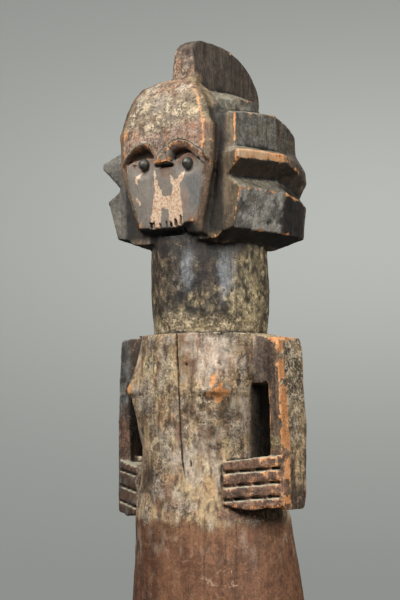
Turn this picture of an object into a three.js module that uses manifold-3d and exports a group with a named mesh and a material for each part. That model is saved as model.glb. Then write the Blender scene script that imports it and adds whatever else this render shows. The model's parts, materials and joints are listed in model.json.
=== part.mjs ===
// A standing guardian figure carved from one length of hardwood, with two domed iron tacks for eyes.
// Millimetres, +Z up. The origin is on the underside of the low base, below the axis of the neck.
// The figure faces -Y, and +X is its own left side.

import * as THREE from "three";
import { mergeVertices } from "three/addons/utils/BufferGeometryUtils.js";
import Module from "manifold-3d";

const wasm = await Module();
wasm.setup();

// How far joined forms run into each other
const OVERLAP = 3;

// Base, legs and feet
const BASE_HEIGHT = 27;
const BASE_HALF_WIDTH = 107;
const BASE_HALF_DEPTH = 100;
const BASE_CENTRE_Y = 4;
const BASE_EDGE = 5;
const BASE_SIDES = 32;
const LEG_X = 45;
const LEG_SIDES = 18;
const FOOT_HALF_WIDTH = 29;
const HEEL_Y = 54;
const HEEL_ROUND = 8;
const HEEL_TOP_Z = 54;
const INSTEP_Y = -30;
const INSTEP_Z = 56;
const TOE_Y = -70;
const TOE_Z = 36;
const TOE_ROUND = 6;

// Trunk and neck
const TRUNK_SIDES = 48;
const BREAST_ANGLE = 45;
const BREAST_SPREAD = 23;
const NECK_SIDES = 20;

// Arms are planks that stand clear of the trunk, joined to it at the shoulder and at the hand
const ARM_INNER_X = 94;
const ARM_FACE_TURN = 1.5;
const ARM_BACK_BEVEL = 4;
const ARM_ROOT_X = 58;
const HAND_TIP = [59, -52];
const HAND_DEPTH = 26;
const HAND_HEEL_RISE = 3;
const GROOVE_DEPTH = 6;
const GROOVE_WIDTH = 3.4;
const GROOVE_SPLAY = 1.5;
const FINGER_SLOPE = 0.085;
const LEFT_HAND = { wrist: [112, -21.5], topZ: 367.7, height: 45, firstGroove: 9.9, pitch: 13.8 };
const RIGHT_HAND = { wrist: [110.5, -22.8], topZ: 360.5, height: 49, firstGroove: 7.3, pitch: 16.6 };

// Head
const CREST_HALF_WIDTH = 16;
const CREST_CHAMFER = 2.5;
const GUTTER_X = 57;
const GUTTER_Y = -59;
const GUTTER_FOOT_Z = 592;
const EYE_X = 29.7;
const EYE_Z = 671.2;
const EYE_TILT = 2.1;
const EYE_SEAT_Y = -70.2;
const SOCKET_Y = -71.2;
const SOCKET_DEPTH = 8;
const TACK_RADIUS = 6.3;
const TACK_HEIGHT = 7.2;
const TACK_RIM = 1.6;
const TACK_GAP = 0.3;
const TACK_SEAT_MARGIN = 0.7;
const TACK_SIDES = 20;
const TACK_STEPS = 6;
const PLATE_DEPTH = 30;
const PLATE_WALL_TURN = 5;
const CHIN_SCOOP = 12;
const NOSE_HALF_WIDTH = 9;
const NOSE_Z = 671.5;
const TOOTH_COUNT = 7;
const TOOTH_SPAN = 44;
const TOOTH_SLIT = [1.5, 6, 10];
const TOOTH_Y = -69.5;
const TOOTH_Z = 608;

const CARVED_WOOD = new THREE.MeshStandardMaterial({ color: 0x5b4a3a, roughness: 0.78, metalness: 0 });
const TACK_IRON = new THREE.MeshStandardMaterial({ color: 0x3a3d42, roughness: 0.45, metalness: 0.85 });

const degrees = THREE.MathUtils.degToRad;
const blend = THREE.MathUtils.lerp;
const smooth = THREE.MathUtils.smoothstep;

// Turns a profile that is drawn in depth and height, and extruded in width, to stand upright.
const UPRIGHT = new THREE.Matrix4().makeBasis(
  new THREE.Vector3(0, 1, 0),
  new THREE.Vector3(0, 0, 1),
  new THREE.Vector3(1, 0, 0),
);

// Geometry becomes a solid; side -1 mirrors it to the figure's right.
function toSolid(geometry, side = 1) {
  const bare = geometry.clone();
  bare.deleteAttribute("normal");
  bare.deleteAttribute("uv");
  bare.scale(side, 1, 1);
  const welded = mergeVertices(bare, 1e-4);
  const vertProperties = new Float32Array(welded.attributes.position.array);
  const triVerts = new Uint32Array(welded.index.array);
  if (side < 0) {
    triVerts.reverse();
  }
  return new wasm.Manifold(new wasm.Mesh({ numProp: 3, vertProperties, triVerts }));
}

function toGeometry(solid) {
  const mesh = solid.getMesh();
  const geometry = new THREE.BufferGeometry();
  geometry.setAttribute("position", new THREE.BufferAttribute(mesh.vertProperties, mesh.numProp));
  geometry.setIndex(new THREE.BufferAttribute(mesh.triVerts, 1));
  geometry.computeVertexNormals();
  return geometry;
}

const join = (solids) => solids.reduce((sum, solid) => sum.add(solid));
const cutAway = (solid, tools) => tools.reduce((rest, tool) => rest.subtract(tool), solid);

// A closed skin over rings of points, lowest ring first, each ring counter-clockwise seen from above.
// Each four-sided patch is split along its shorter diagonal.
function loft(rings, side = 1) {
  const count = rings[0].length;
  const points = rings.flat();
  const span = (i, j) => Math.hypot(...points[i].map((value, axis) => value - points[j][axis]));
  const faces = [];
  for (let level = 0; level + 1 < rings.length; level += 1) {
    for (let i = 0; i < count; i += 1) {
      const a = level * count + i;
      const b = level * count + ((i + 1) % count);
      const c = b + count;
      const d = a + count;
      faces.push(...(span(a, c) <= span(b, d) ? [a, b, c, a, c, d] : [a, b, d, b, c, d]));
    }
  }
  const middle = (ring) => [0, 1, 2].map((axis) => ring.reduce((sum, p) => sum + p[axis], 0) / count);
  const bottom = points.push(middle(rings[0])) - 1;
  const top = points.push(middle(rings.at(-1))) - 1;
  const last = (rings.length - 1) * count;
  for (let i = 0; i < count; i += 1) {
    const next = (i + 1) % count;
    faces.push(bottom, next, i, top, last + i, last + next);
  }
  const geometry = new THREE.BufferGeometry();
  geometry.setAttribute("position", new THREE.Float32BufferAttribute(points.flat(), 3));
  geometry.setIndex(faces);
  return toSolid(geometry, side);
}

// A full ring from its half on the +X side, listed from the front centre round to the back centre.
// rise lifts the figure's right side, as on the hand-cut head.
function mirrored(half, rise = 0) {
  const other = half.slice(1, -1).reverse();
  return [...half, ...other.map(([x, y, z]) => [-x, y, z + rise * Math.min(1, x / EYE_X)])];
}

function ellipseRing(sides, z, centre, radii) {
  return Array.from({ length: sides }, (_, i) => {
    const angle = (i / sides) * 2 * Math.PI;
    return [centre[0] + radii[0] * Math.sin(angle), centre[1] - radii[1] * Math.cos(angle), z];
  });
}

// Values at z out of rows of [z, value, ...] that rise in z.
function stationAt(rows, z) {
  const above = Math.max(1, rows.findIndex((row) => row[0] >= z));
  const low = rows[above - 1];
  const high = rows[above];
  const share = THREE.MathUtils.clamp((z - low[0]) / (high[0] - low[0]), 0, 1);
  return low.slice(1).map((value, i) => blend(value, high[i + 1], share));
}

// Base, legs and feet

function makeBase() {
  const centre = [0, BASE_CENTRE_Y];
  const foot = [BASE_HALF_WIDTH, BASE_HALF_DEPTH];
  const top = foot.map((radius) => radius - BASE_EDGE);
  return loft([
    ellipseRing(BASE_SIDES, 0, centre, foot),
    ellipseRing(BASE_SIDES, BASE_HEIGHT - BASE_EDGE, centre, foot),
    ellipseRing(BASE_SIDES, BASE_HEIGHT, centre, top),
  ]);
}

// z, centre y, half width, half depth
const LEG_STATIONS = [
  [BASE_HEIGHT - OVERLAP, 12, 30, 38],
  [54, 12, 29, 37],
  [76, 14, 33, 42],
  [100, 9, 35.5, 47],
  [120, -1, 36, 50],
  [142, 4, 39, 57],
  [164, 10, 42.5, 64],
  [186, 13, 44, 67],
  [204, 13, 43, 64],
];

function makeLeg(side) {
  const rings = LEG_STATIONS.map(([z, centreY, halfWidth, halfDepth]) => {
    return ellipseRing(LEG_SIDES, z, [LEG_X, centreY], [halfWidth, halfDepth]);
  });
  return loft(rings, side);
}

function makeFoot(side) {
  const sole = BASE_HEIGHT - OVERLAP;
  const profile = new THREE.Shape();
  profile.moveTo(HEEL_Y, sole);
  profile.lineTo(HEEL_Y, HEEL_TOP_Z - HEEL_ROUND);
  profile.lineTo(HEEL_Y - HEEL_ROUND, HEEL_TOP_Z);
  profile.lineTo(INSTEP_Y, INSTEP_Z);
  profile.lineTo(TOE_Y + TOE_ROUND, TOE_Z + TOE_ROUND);
  profile.lineTo(TOE_Y, TOE_Z);
  profile.lineTo(TOE_Y, sole);
  const width = FOOT_HALF_WIDTH * 2;
  const geometry = new THREE.ExtrudeGeometry(profile, { depth: width, bevelEnabled: false });
  geometry.applyMatrix4(UPRIGHT);
  return toSolid(geometry.translate(LEG_X - FOOT_HALF_WIDTH, 0, 0), side);
}

// Trunk: z, half width, half depth, centre y
const TRUNK_STATIONS = [
  [158, 44, 46, 10],
  [168, 76, 68, 12],
  [182, 89.5, 81, 13],
  [200, 94, 86.5, 13],
  [220, 93, 86.5, 12.5],
  [261, 87.5, 83, 9.5],
  [286, 84.5, 81, 7],
  [309, 82, 80, 3.4],
  [328, 77.5, 76.5, 1.6],
  [350, 72.5, 72.5, 0],
  [371, 71, 71, 0],
  [430, 71.2, 70.6, 0],
  [490, 73, 71.5, 0],
  [497, 71.5, 70, 0],
];

// How far each breast stands out of the trunk: z, reach
const BREAST_STATIONS = [
  [380, 0],
  [400, 5],
  [420, 9],
  [432, 11.5],
  [437, 16.5],
  [441, 17],
  [455, 11],
  [470, 5.5],
  [492, 0],
];

const TRUNK_LEVELS = [...new Set([...TRUNK_STATIONS, ...BREAST_STATIONS].map((row) => row[0]))]
  .sort((a, b) => a - b);

// Radius towards a direction that is turned by angle from straight ahead, about the trunk's centre.
function trunkRadius(angle, z, halfWidth, halfDepth) {
  const round = 1 / Math.hypot(Math.sin(angle) / halfWidth, Math.cos(angle) / halfDepth);
  const fromBreast = Math.abs(Math.abs(angle) - degrees(BREAST_ANGLE)) / degrees(BREAST_SPREAD);
  return round + stationAt(BREAST_STATIONS, z)[0] * Math.max(0, 1 - fromBreast);
}

function makeTrunk() {
  const rings = TRUNK_LEVELS.map((z) => {
    const [halfWidth, halfDepth, centreY] = stationAt(TRUNK_STATIONS, z);
    return Array.from({ length: TRUNK_SIDES }, (_, i) => {
      const angle = ((i / TRUNK_SIDES) * 2 - (i * 2 > TRUNK_SIDES ? 2 : 0)) * Math.PI;
      const radius = trunkRadius(angle, z, halfWidth, halfDepth);
      return [radius * Math.sin(angle), centreY - radius * Math.cos(angle), z];
    });
  });
  return loft(rings);
}

// Neck: z, radius, centre y
const NECK_STATIONS = [
  [480, 59.6, 0.6],
  [500, 60, 0.6],
  [522, 62, 0.4],
  [545, 62.9, 0],
  [568, 62.2, -1.4],
  [598, 60.4, -3],
];

function makeNeck() {
  return loft(NECK_STATIONS.map(([z, radius, y]) => ellipseRing(NECK_SIDES, z, [0, y], [radius, radius])));
}

// Arms and hands

// Plank: z, front y, start of the outer chamfer x, its end y, outer x, back y
// Shoulder and forearm are the bridges above and below the slot. Each end: z at the trunk and at the arm,
// front y at the trunk and at the arm, back y at the arm and at the trunk
const LEFT_ARM = {
  plank: [
    [320, -19, 112.3, -10, 113.5, 15.5],
    [334, -19.5, 112.3, -11, 113.5, 19],
    [399, -23, 111, -13, 113, 20.5],
    [450, -24.5, 110, -16, 111.5, 18],
    [482, -25.5, 108.5, -18, 109.3, 19],
    [492, -25, 106, -17, 107, 17],
  ],
  shoulder: [
    [445, 447, -18, -23, 18, 28],
    [498.5, 492, -12, -23.5, 17, 30],
  ],
};
const RIGHT_ARM = {
  plank: [
    [320, -21.5, 110.5, -11, 113.5, 12],
    [334, -22.5, 110.8, -12, 113.5, 13],
    [399, -23.5, 109.8, -13, 112, 18],
    [450, -26, 106.5, -16, 109, 21],
    [484, -28.5, 103, -19, 105.3, 23],
    [496, -28, 103, -18, 104.5, 21],
  ],
  shoulder: [
    [443, 446, -18, -24.5, 21, 28],
    [499, 496, -14, -26.5, 21, 30],
  ],
};
const FOREARM_ENDS = [
  [322, 322, -14, -14, 11, 11],
  [371, 371, -14, -14, 15, 15],
];

function makeBridge(ends, side) {
  const armX = ARM_INNER_X + OVERLAP;
  const rings = ends.map(([trunkZ, armZ, trunkFront, armFront, armBack, trunkBack]) => [
    [ARM_ROOT_X, trunkFront, trunkZ],
    [armX, armFront, armZ],
    [armX, armBack, armZ],
    [ARM_ROOT_X, trunkBack, trunkZ],
  ]);
  return loft(rings, side);
}

function makeArm({ plank, shoulder }, side) {
  const board = loft(plank.map(([z, frontY, cutX, cutY, outerX, backY]) => [
    [ARM_INNER_X, frontY + ARM_FACE_TURN, z],
    [cutX, frontY, z],
    [outerX, cutY, z],
    [outerX, backY - ARM_BACK_BEVEL, z],
    [outerX - ARM_BACK_BEVEL, backY, z],
    [ARM_INNER_X, backY, z],
  ]), side);
  return join([board, makeBridge(shoulder, side), makeBridge(FOREARM_ENDS, side)]);
}

// A hand lies flat from wrist to finger tips; its grooves are cut square above and sloping below.
function makeHand({ wrist: [wristX, wristY], topZ, height, firstGroove, pitch }, side) {
  const wrist = new THREE.Vector3(wristX, wristY, 0);
  const tip = new THREE.Vector3(...HAND_TIP, 0);
  const length = tip.distanceTo(wrist);
  const up = new THREE.Vector3(0, 0, 1);
  const along = tip.clone().sub(wrist).normalize();
  const inward = along.clone().cross(up);
  const bottom = topZ - height;
  const belly = bottom - HAND_HEEL_RISE;
  const outline = new THREE.Shape();
  outline.moveTo(0, bottom);
  outline.lineTo(0, topZ + length * FINGER_SLOPE + GROOVE_SPLAY);
  outline.lineTo(length, topZ);
  outline.lineTo(length, bottom + HAND_HEEL_RISE);
  outline.quadraticCurveTo(length * 0.86, belly, length / 2, belly);
  const settings = { depth: HAND_DEPTH, bevelEnabled: false, curveSegments: 4 };
  const slab = new THREE.ExtrudeGeometry(outline, settings);
  slab.applyMatrix4(new THREE.Matrix4().makeBasis(along, up, inward).setPosition(wrist));
  const back = along.clone().negate().addScaledVector(up, FINGER_SLOPE);
  const start = tip.clone().addScaledVector(along, OVERLAP);
  const grooves = [0, 1, 2].map((index) => {
    const z = topZ - firstGroove - index * pitch;
    const section = new THREE.Shape();
    section.moveTo(-OVERLAP, z);
    section.lineTo(-OVERLAP, z - GROOVE_WIDTH - GROOVE_SPLAY);
    section.lineTo(GROOVE_DEPTH, z - GROOVE_SPLAY);
    section.lineTo(GROOVE_DEPTH, z);
    const groove = new THREE.ExtrudeGeometry(section, { depth: length, bevelEnabled: false });
    groove.applyMatrix4(new THREE.Matrix4().makeBasis(inward, up, back).setPosition(start));
    return toSolid(groove, side);
  });
  return cutAway(toSolid(slab, side), grooves);
}

// Coiffure: stepped tiers that wrap the sides and the back, lowest first.
// Each row: edge [x, y, z] at the front, side [x, y, z] where the flank ends, back [x, y, z], spine [y, z].
const TIERS = [
  { edge: [79.4, -59.5, 600.9], side: [84.5, 17, 600.5], back: [70, 70, 600], spine: [84, 600] },
  { edge: [90.9, -62, 640.5], side: [90, 15, 642], back: [72, 74, 634], spine: [89, 633] },
  { edge: [74, -61, 653], side: [74, 18, 657.5], back: [67, 67.5, 643], spine: [76, 642] },
  { edge: [92.6, -67.5, 668.5], side: [93, 12, 673], back: [71, 76, 660], spine: [90, 658], rise: 6 },
  { edge: [92.6, -67.5, 676.5], side: [93, 10, 680.5], back: [70, 75, 672], spine: [88, 670], rise: 5 },
  { edge: [77, -54, 684], side: [77, 20, 687], back: [68, 61, 689], spine: [76, 690], rise: 11 },
  { edge: [77, -53.5, 718.5], side: [77, 12, 724.5], back: [68, 58, 709], spine: [73, 711], rise: 7 },
  { edge: [47, -40, 726.5], side: [46, 8, 731], back: [40, 38, 728], spine: [60, 725], rise: 5 },
  { edge: [45, -38, 738.5], side: [44, 6, 744], back: [36, 35, 742], spine: [56, 740], rise: 5 },
  { edge: [17, -32, 752], side: [15, 4, 756], back: [13, 36, 753], spine: [48, 752] },
];

// The rim is the lowest ring. Its front drops to the foot of the gutter beside the face plate.
function coiffureRing({ edge, side, back, spine, rise }, isRim) {
  const z = edge[2];
  const innerX = Math.min(GUTTER_X, edge[0] * 0.8);
  const innerY = Math.max(GUTTER_Y, edge[1] - 4);
  const innerZ = isRim ? GUTTER_FOOT_Z : z;
  const halfwayZ = isRim ? blend(innerZ, z, 0.75) : z;
  const halfway = [blend(innerX, edge[0], 0.4), blend(innerY, edge[1], 0.3), halfwayZ];
  const shoulder = [0, 1, 2].map((axis) => blend(side[axis], back[axis], 0.5) + (axis === 0 ? 3 : 0));
  const rear = [back[0] / 2, blend(back[1], spine[0], 0.72), blend(back[2], spine[1], 0.6)];
  return mirrored([
    [0, innerY + 3, isRim ? innerZ - 1 : innerZ],
    [innerX * 0.8, innerY + 1, innerZ],
    [innerX, innerY, innerZ],
    halfway,
    edge,
    side,
    shoulder,
    back,
    rear,
    [0, ...spine],
  ], rise);
}

// Below the rim the coiffure tapers to a root inside the top of the neck.
const ROOT = { width: 0.66, depth: 0.7, z: 588.5 };

function makeCoiffure() {
  const rim = coiffureRing(TIERS[0], true);
  const root = rim.map(([x, y]) => [x * ROOT.width, y * ROOT.depth, ROOT.z]);
  return loft([root, rim, ...TIERS.slice(1).map((tier) => coiffureRing(tier, false))]);
}

// Crest in side view, [y, z]: its foot inside the coiffure, the curved back edge, and the front edge
const CREST_FOOT = [[-44, 722], [62, 722], [67, 752]];
const CREST_ARC = [[61.6, 768], [41.7, 790], [10, 803.5], [-20, 807], [-33, 805.3], [-42, 796]];
const CREST_FRONT = [-46, 764];

function makeCrest() {
  const points = (rows) => rows.map(([y, z]) => new THREE.Vector2(y, z));
  const profile = new THREE.Shape(points(CREST_FOOT));
  profile.splineThru(points(CREST_ARC));
  profile.lineTo(...CREST_FRONT);
  const depth = 2 * (CREST_HALF_WIDTH - CREST_CHAMFER);
  const geometry = new THREE.ExtrudeGeometry(profile, {
    depth,
    curveSegments: 18,
    bevelSize: CREST_CHAMFER,
    bevelThickness: CREST_CHAMFER,
    bevelOffset: -CREST_CHAMFER,
    bevelSegments: 1,
  });
  geometry.translate(0, 0, -depth / 2);
  return toSolid(geometry.applyMatrix4(UPRIGHT));
}

// Face

// Lowest station first: z, centre y, front edge [x, y], outer ridge [x, y], wall [x, y]
const LOWER_PLATE = [
  { z: 607, centre: -69, edge: [36.5, -68.5], ridge: [43.5, -65.5], wall: [46.5, -58.5] },
  { z: 640, centre: -71, edge: [46, -71.5], ridge: [54, -70], wall: [53, -60] },
  { z: 662, centre: -72, edge: [51.5, -73.5], ridge: [61, -71.5], wall: [56.5, -59] },
  { z: 698, centre: -72, edge: [52, -73.5], ridge: [61.5, -71.5], wall: [58, -58] },
];
// The forehead is fuller on the figure's right: swell is how far it goes out and forward there.
const FOREHEAD = [
  { z: 660, centre: -79.5, edge: [54, -76], ridge: [62, -72], wall: [56.5, -59], swell: [0, 0] },
  { z: 690, centre: -79.5, edge: [54, -76], ridge: [63, -72.5], wall: [58, -58], swell: [0, 0] },
  { z: 707, centre: -77.5, edge: [52, -75], ridge: [62.5, -71.5], wall: [58, -57], swell: [3, 0] },
  { z: 720, centre: -74.5, edge: [48, -72], ridge: [57, -69], wall: [55, -54], swell: [5, 0] },
  { z: 733, centre: -70.5, edge: [41, -68], ridge: [50.5, -65.5], wall: [48, -50], swell: [8, 1.5] },
  { z: 746, centre: -64, edge: [32, -61.5], ridge: [39, -60], wall: [36, -44], swell: [15, 3.5] },
  { z: 757, centre: -56, edge: [21, -53], ridge: [25, -52], wall: [23, -38], swell: [23, 5] },
  { z: 765, centre: -46, edge: [13, -43], ridge: [18, -42], wall: [16, -34], swell: [14, 4] },
];

// The brow in front view, [x, z], from the figure's right temple over the nose to its left temple.
// The arches are curves of two control points and an end point.
const RIGHT_TEMPLE = [-66, 668];
const RIGHT_BROW_START = [-56, 675];
const RIGHT_ARCHES = [[-49, 688, -38, 698, -24, 697.5], [-14, 697, -9, 684, -NOSE_HALF_WIDTH, NOSE_Z]];
const LEFT_BROW_START = [NOSE_HALF_WIDTH, NOSE_Z + 1.5];
const LEFT_ARCHES = [[9, 684, 12, 693, 22, 694], [36, 694.5, 48, 687, 56, 671]];
const LEFT_TEMPLE = [66, 664];
const BROW_TOP_Z = 780;
const BROW_FRONT_Y = -100;
const BROW_BACK_Y = -40;

function plateRing({ z, centre, edge, ridge, wall }) {
  const facet = [edge[0] * 0.68, blend(centre, edge[1], 0.35) - 1];
  const back = wall[1] + PLATE_DEPTH;
  const half = [[0, centre], facet, edge, ridge, wall, [wall[0] - PLATE_WALL_TURN, back], [0, back]];
  return mirrored(half.map(([x, y]) => [x, y, z]));
}

function foreheadRing(station) {
  const [out, forward] = station.swell;
  return plateRing(station).map(([x, y, z]) => {
    const share = Math.max(0, -x / station.ridge[0]);
    return [x - out * share, y - forward * share, z];
  });
}

// The chin is scooped from below: its back, and its wall on the figure's left, reach below the teeth.
function chinRing() {
  const [chin] = LOWER_PLATE;
  return plateRing(chin).map(([x, y, z]) => {
    const isBack = y > chin.wall[1] + 1;
    const share = isBack ? 1 : smooth(x, chin.edge[0] - 2, chin.wall[0]);
    return [x, y, z - CHIN_SCOOP * share];
  });
}

// Everything above the brow line, as deep as the forehead.
function makeBrowBlock() {
  const outline = new THREE.Shape();
  outline.moveTo(RIGHT_TEMPLE[0], BROW_TOP_Z);
  outline.lineTo(...RIGHT_TEMPLE);
  outline.lineTo(...RIGHT_BROW_START);
  RIGHT_ARCHES.forEach((arch) => outline.bezierCurveTo(...arch));
  outline.lineTo(...LEFT_BROW_START);
  LEFT_ARCHES.forEach((arch) => outline.bezierCurveTo(...arch));
  outline.lineTo(...LEFT_TEMPLE);
  outline.lineTo(LEFT_TEMPLE[0], BROW_TOP_Z);
  const depth = BROW_BACK_Y - BROW_FRONT_Y;
  const block = new THREE.ExtrudeGeometry(outline, { depth, bevelEnabled: false, curveSegments: 6 });
  return toSolid(block.rotateX(Math.PI / 2).translate(0, BROW_BACK_Y, 0));
}

function eyeCentre(side) {
  return [side * EYE_X, EYE_SEAT_Y, EYE_Z - side * EYE_TILT];
}

// Hollows under the brow: centre x, z, half width, half height
const SOCKETS = [[19, 679.5, 13, 8.5], [-34, 680.5, 17, 7]];

function makeSocket([x, z, halfWidth, halfHeight]) {
  const pocket = new THREE.SphereGeometry(1, 14, 10).scale(halfWidth, SOCKET_DEPTH, halfHeight);
  return toSolid(pocket.translate(x, SOCKET_Y, z));
}

// A flat seat for the tack, cut forwards from the eye.
function makeSeat(side) {
  const [x, y, z] = eyeCentre(side);
  const radius = TACK_RADIUS + TACK_SEAT_MARGIN;
  const reach = y - BROW_FRONT_Y;
  const seat = new THREE.CylinderGeometry(radius, radius, reach, TACK_SIDES);
  return toSolid(seat.translate(x, y - reach / 2, z));
}

function makeTeeth() {
  return Array.from({ length: TOOTH_COUNT }, (_, i) => {
    const x = (i / (TOOTH_COUNT - 1) - 0.5) * TOOTH_SPAN;
    return toSolid(new THREE.BoxGeometry(...TOOTH_SLIT).translate(x, TOOTH_Y, TOOTH_Z));
  });
}

function makePlate() {
  const panel = loft([chinRing(), ...LOWER_PLATE.slice(1).map(plateRing)]);
  const forehead = loft(FOREHEAD.map(foreheadRing)).intersect(makeBrowBlock());
  return join([panel, forehead]);
}

// A domed tack head: flat back against the wood, axis along -Y.
function makeTack() {
  const profile = [new THREE.Vector2(0, 0), new THREE.Vector2(TACK_RADIUS, 0)];
  for (let i = 0; i <= TACK_STEPS; i += 1) {
    const angle = (i / TACK_STEPS) * (Math.PI / 2);
    const height = TACK_RIM + (TACK_HEIGHT - TACK_RIM) * Math.sin(angle);
    profile.push(new THREE.Vector2(i === TACK_STEPS ? 0 : TACK_RADIUS * Math.cos(angle), height));
  }
  return new THREE.LatheGeometry(profile, TACK_SIDES).rotateX(Math.PI);
}

function makeFigure() {
  const core = [makeBase(), makeTrunk(), makeNeck(), makeCoiffure(), makeCrest(), makePlate()];
  const legs = [-1, 1].flatMap((side) => [makeLeg(side), makeFoot(side)]);
  const arms = [makeArm(LEFT_ARM, 1), makeArm(RIGHT_ARM, -1)];
  const hands = [makeHand(LEFT_HAND, 1), makeHand(RIGHT_HAND, -1)];
  const hollows = [...SOCKETS.map(makeSocket), makeSeat(1), makeSeat(-1)];
  return toGeometry(cutAway(join([...core, ...legs, ...arms, ...hands]), [...hollows, ...makeTeeth()]));
}

const group = new THREE.Group();

const figure = new THREE.Mesh(makeFigure(), CARVED_WOOD);
figure.name = "figure";
group.add(figure);

const TACKS = [
  { name: "left_eye_tack", side: 1 },
  { name: "right_eye_tack", side: -1 },
];
for (const { name, side } of TACKS) {
  const [x, y, z] = eyeCentre(side);
  const tack = new THREE.Mesh(makeTack(), TACK_IRON);
  tack.name = name;
  tack.position.set(x, y - TACK_GAP, z);
  group.add(tack);
}

export default group;
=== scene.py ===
"""Dresses the standing guardian figure: carved and patinated wood, iron eye tacks and a plain studio."""

import json
import logging
import math
from dataclasses import dataclass, field
from enum import Enum

import bpy
import numpy as np
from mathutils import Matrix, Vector, kdtree

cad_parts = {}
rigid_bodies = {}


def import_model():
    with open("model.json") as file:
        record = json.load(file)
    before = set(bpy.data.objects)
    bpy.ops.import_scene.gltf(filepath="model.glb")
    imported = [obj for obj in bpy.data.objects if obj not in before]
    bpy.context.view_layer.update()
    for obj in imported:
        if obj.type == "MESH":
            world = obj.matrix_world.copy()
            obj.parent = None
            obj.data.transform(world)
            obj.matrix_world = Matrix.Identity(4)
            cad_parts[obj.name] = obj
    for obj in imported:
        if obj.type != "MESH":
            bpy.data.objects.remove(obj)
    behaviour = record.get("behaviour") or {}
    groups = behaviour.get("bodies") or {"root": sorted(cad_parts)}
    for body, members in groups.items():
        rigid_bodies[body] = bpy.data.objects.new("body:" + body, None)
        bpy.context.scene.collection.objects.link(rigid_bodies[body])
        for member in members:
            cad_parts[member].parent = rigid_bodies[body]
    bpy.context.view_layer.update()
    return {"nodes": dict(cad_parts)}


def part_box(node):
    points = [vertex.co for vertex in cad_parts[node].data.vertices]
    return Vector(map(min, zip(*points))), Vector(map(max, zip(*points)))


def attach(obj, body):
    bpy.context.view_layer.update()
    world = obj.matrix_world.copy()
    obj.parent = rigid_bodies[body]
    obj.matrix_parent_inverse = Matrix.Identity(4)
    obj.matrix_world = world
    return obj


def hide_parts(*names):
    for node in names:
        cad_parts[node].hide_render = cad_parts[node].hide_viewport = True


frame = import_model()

MM = 0.001
LOG = logging.getLogger("guardian_figure")
Path = tuple[tuple[float, ...], ...]
GROUND = "ground"

# Heights on the figure in millimetres: the lower end of the crust, the slots' upper ends, the shoulders
# and the underside of the head
COLOUR_EDGE_Z = 306.0
SLOT_TOP_Z = 449.0
SHOULDER_Z = 497.0
HEAD_Z = 588.0


class Layer(Enum):
    """The painted layers of the wood. Each is a value on every vertex that the finish reads."""

    MOTTLE = "mottle"
    GRAIN = "grain"
    CRUST = "crust"
    PITS = "pits"
    CREAM = "cream"
    WORN = "worn"
    # Near-black dirt in hollows and cracks, and painted shade in gaps, slots and undersides
    GRIME = "grime"
    DUST = "dust"
    SHEEN = "sheen"
    SCRAPES = "scrapes"


class Coat(Enum):
    """The colours that lie on the wood, as hex digits."""

    TAN_CRUST = "b89c76"
    YELLOW_CRUST = "cdb68c"
    WARM_TAN = "b08a5f"
    PINK_GREY = "b4a08b"
    CHALK = "bfae9a"
    UMBER = "6a5138"
    DARK_UMBER = "43352a"
    OLIVE = "62584a"
    BLUE_GREY = "6c6c68"
    BLUE_WHITE = "8b8e90"
    NECK_TAN = "a18d69"
    NECK_PALE = "bdab83"
    PALE_LIME = "b7ab95"
    OLIVE_TAN = "857657"
    BARE = "835a3f"
    BARE_DARK = "65412d"
    BARE_PALE = "936b4e"
    PURPLE_BROWN = "97806f"
    FACE_GREY = "857b70"
    FACE_BLUE = "74726e"
    EYE_BROWN = "8b6b55"
    STRIP_BROWN = "6a5a45"
    FLANK_GREY = "6c6960"
    FLANK_PALE = "86806f"
    SLATE_PALE = "a8a297"
    BLACK = "25221f"
    CREST_BROWN = "4b4035"
    CREST_PINK = "906e54"
    HAND_BROWN = "85624c"
    ARM_BROWN = "6a5542"
    RED_STREAK = "84432a"


def deselect_all() -> None:
    """Leaves nothing selected."""
    for obj in bpy.context.view_layer.objects:
        obj.select_set(False)


def make_active(obj: bpy.types.Object) -> None:
    """Selects one object alone and makes it the active one.

    Args:
        obj: The object.
    """
    deselect_all()
    obj.select_set(True)
    bpy.context.view_layer.objects.active = obj


def apply_modifier(obj: bpy.types.Object, kind: str, **settings: object) -> None:
    """Adds a modifier to an object and applies it.

    Args:
        obj: The mesh object to change.
        kind: Blender's name for the modifier's type.
        settings: The modifier's values.
    """
    make_active(obj)
    modifier = obj.modifiers.new(kind.title(), kind)
    for name, value in settings.items():
        setattr(modifier, name, value)
    bpy.ops.object.modifier_apply(modifier=modifier.name)


def ramp(values: np.ndarray, start: float, end: float) -> np.ndarray:
    """Rises smoothly from 0 at start to 1 at end, or falls where end lies below start.

    Args:
        values: The values to judge.
        start: Where the result leaves 0.
        end: Where the result reaches 1.

    Returns:
        An array of shares from 0 to 1.
    """
    share = np.clip((values - start) / (end - start), 0.0, 1.0)
    return share * share * (3.0 - 2.0 * share)


def from_path(points: np.ndarray, path: Path) -> tuple[np.ndarray, np.ndarray]:
    """Measures each point against a path of straight stretches.

    Args:
        points: One row for each point.
        path: The path's corners. Each is the place and then one more value, such as a radius.

    Returns:
        The distance from the path, and the extra value at the nearest place on it.
    """
    corners = np.array(path, float)
    axes = points.shape[1]
    nearest = np.full(len(points), np.inf)
    value = np.zeros(len(points))
    for start, end in zip(corners[:-1], corners[1:]):
        step = end[:axes] - start[:axes]
        share = np.clip((points - start[:axes]) @ step / max(step @ step, 1e-9), 0.0, 1.0)
        away = np.linalg.norm(points - start[:axes] - share[:, None] * step, axis=1)
        closer = away < nearest
        nearest[closer] = away[closer]
        value[closer] = (start[axes] + share * (end[axes] - start[axes]))[closer]
    return nearest, value


def stroke(points: np.ndarray, path: Path, blur: float) -> np.ndarray:
    """A brush stroke along a path whose last value is its radius: 1 inside, 0 at blur outside its edge."""
    away, radius = from_path(points, path)
    return ramp(away - radius, blur, -blur)


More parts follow.
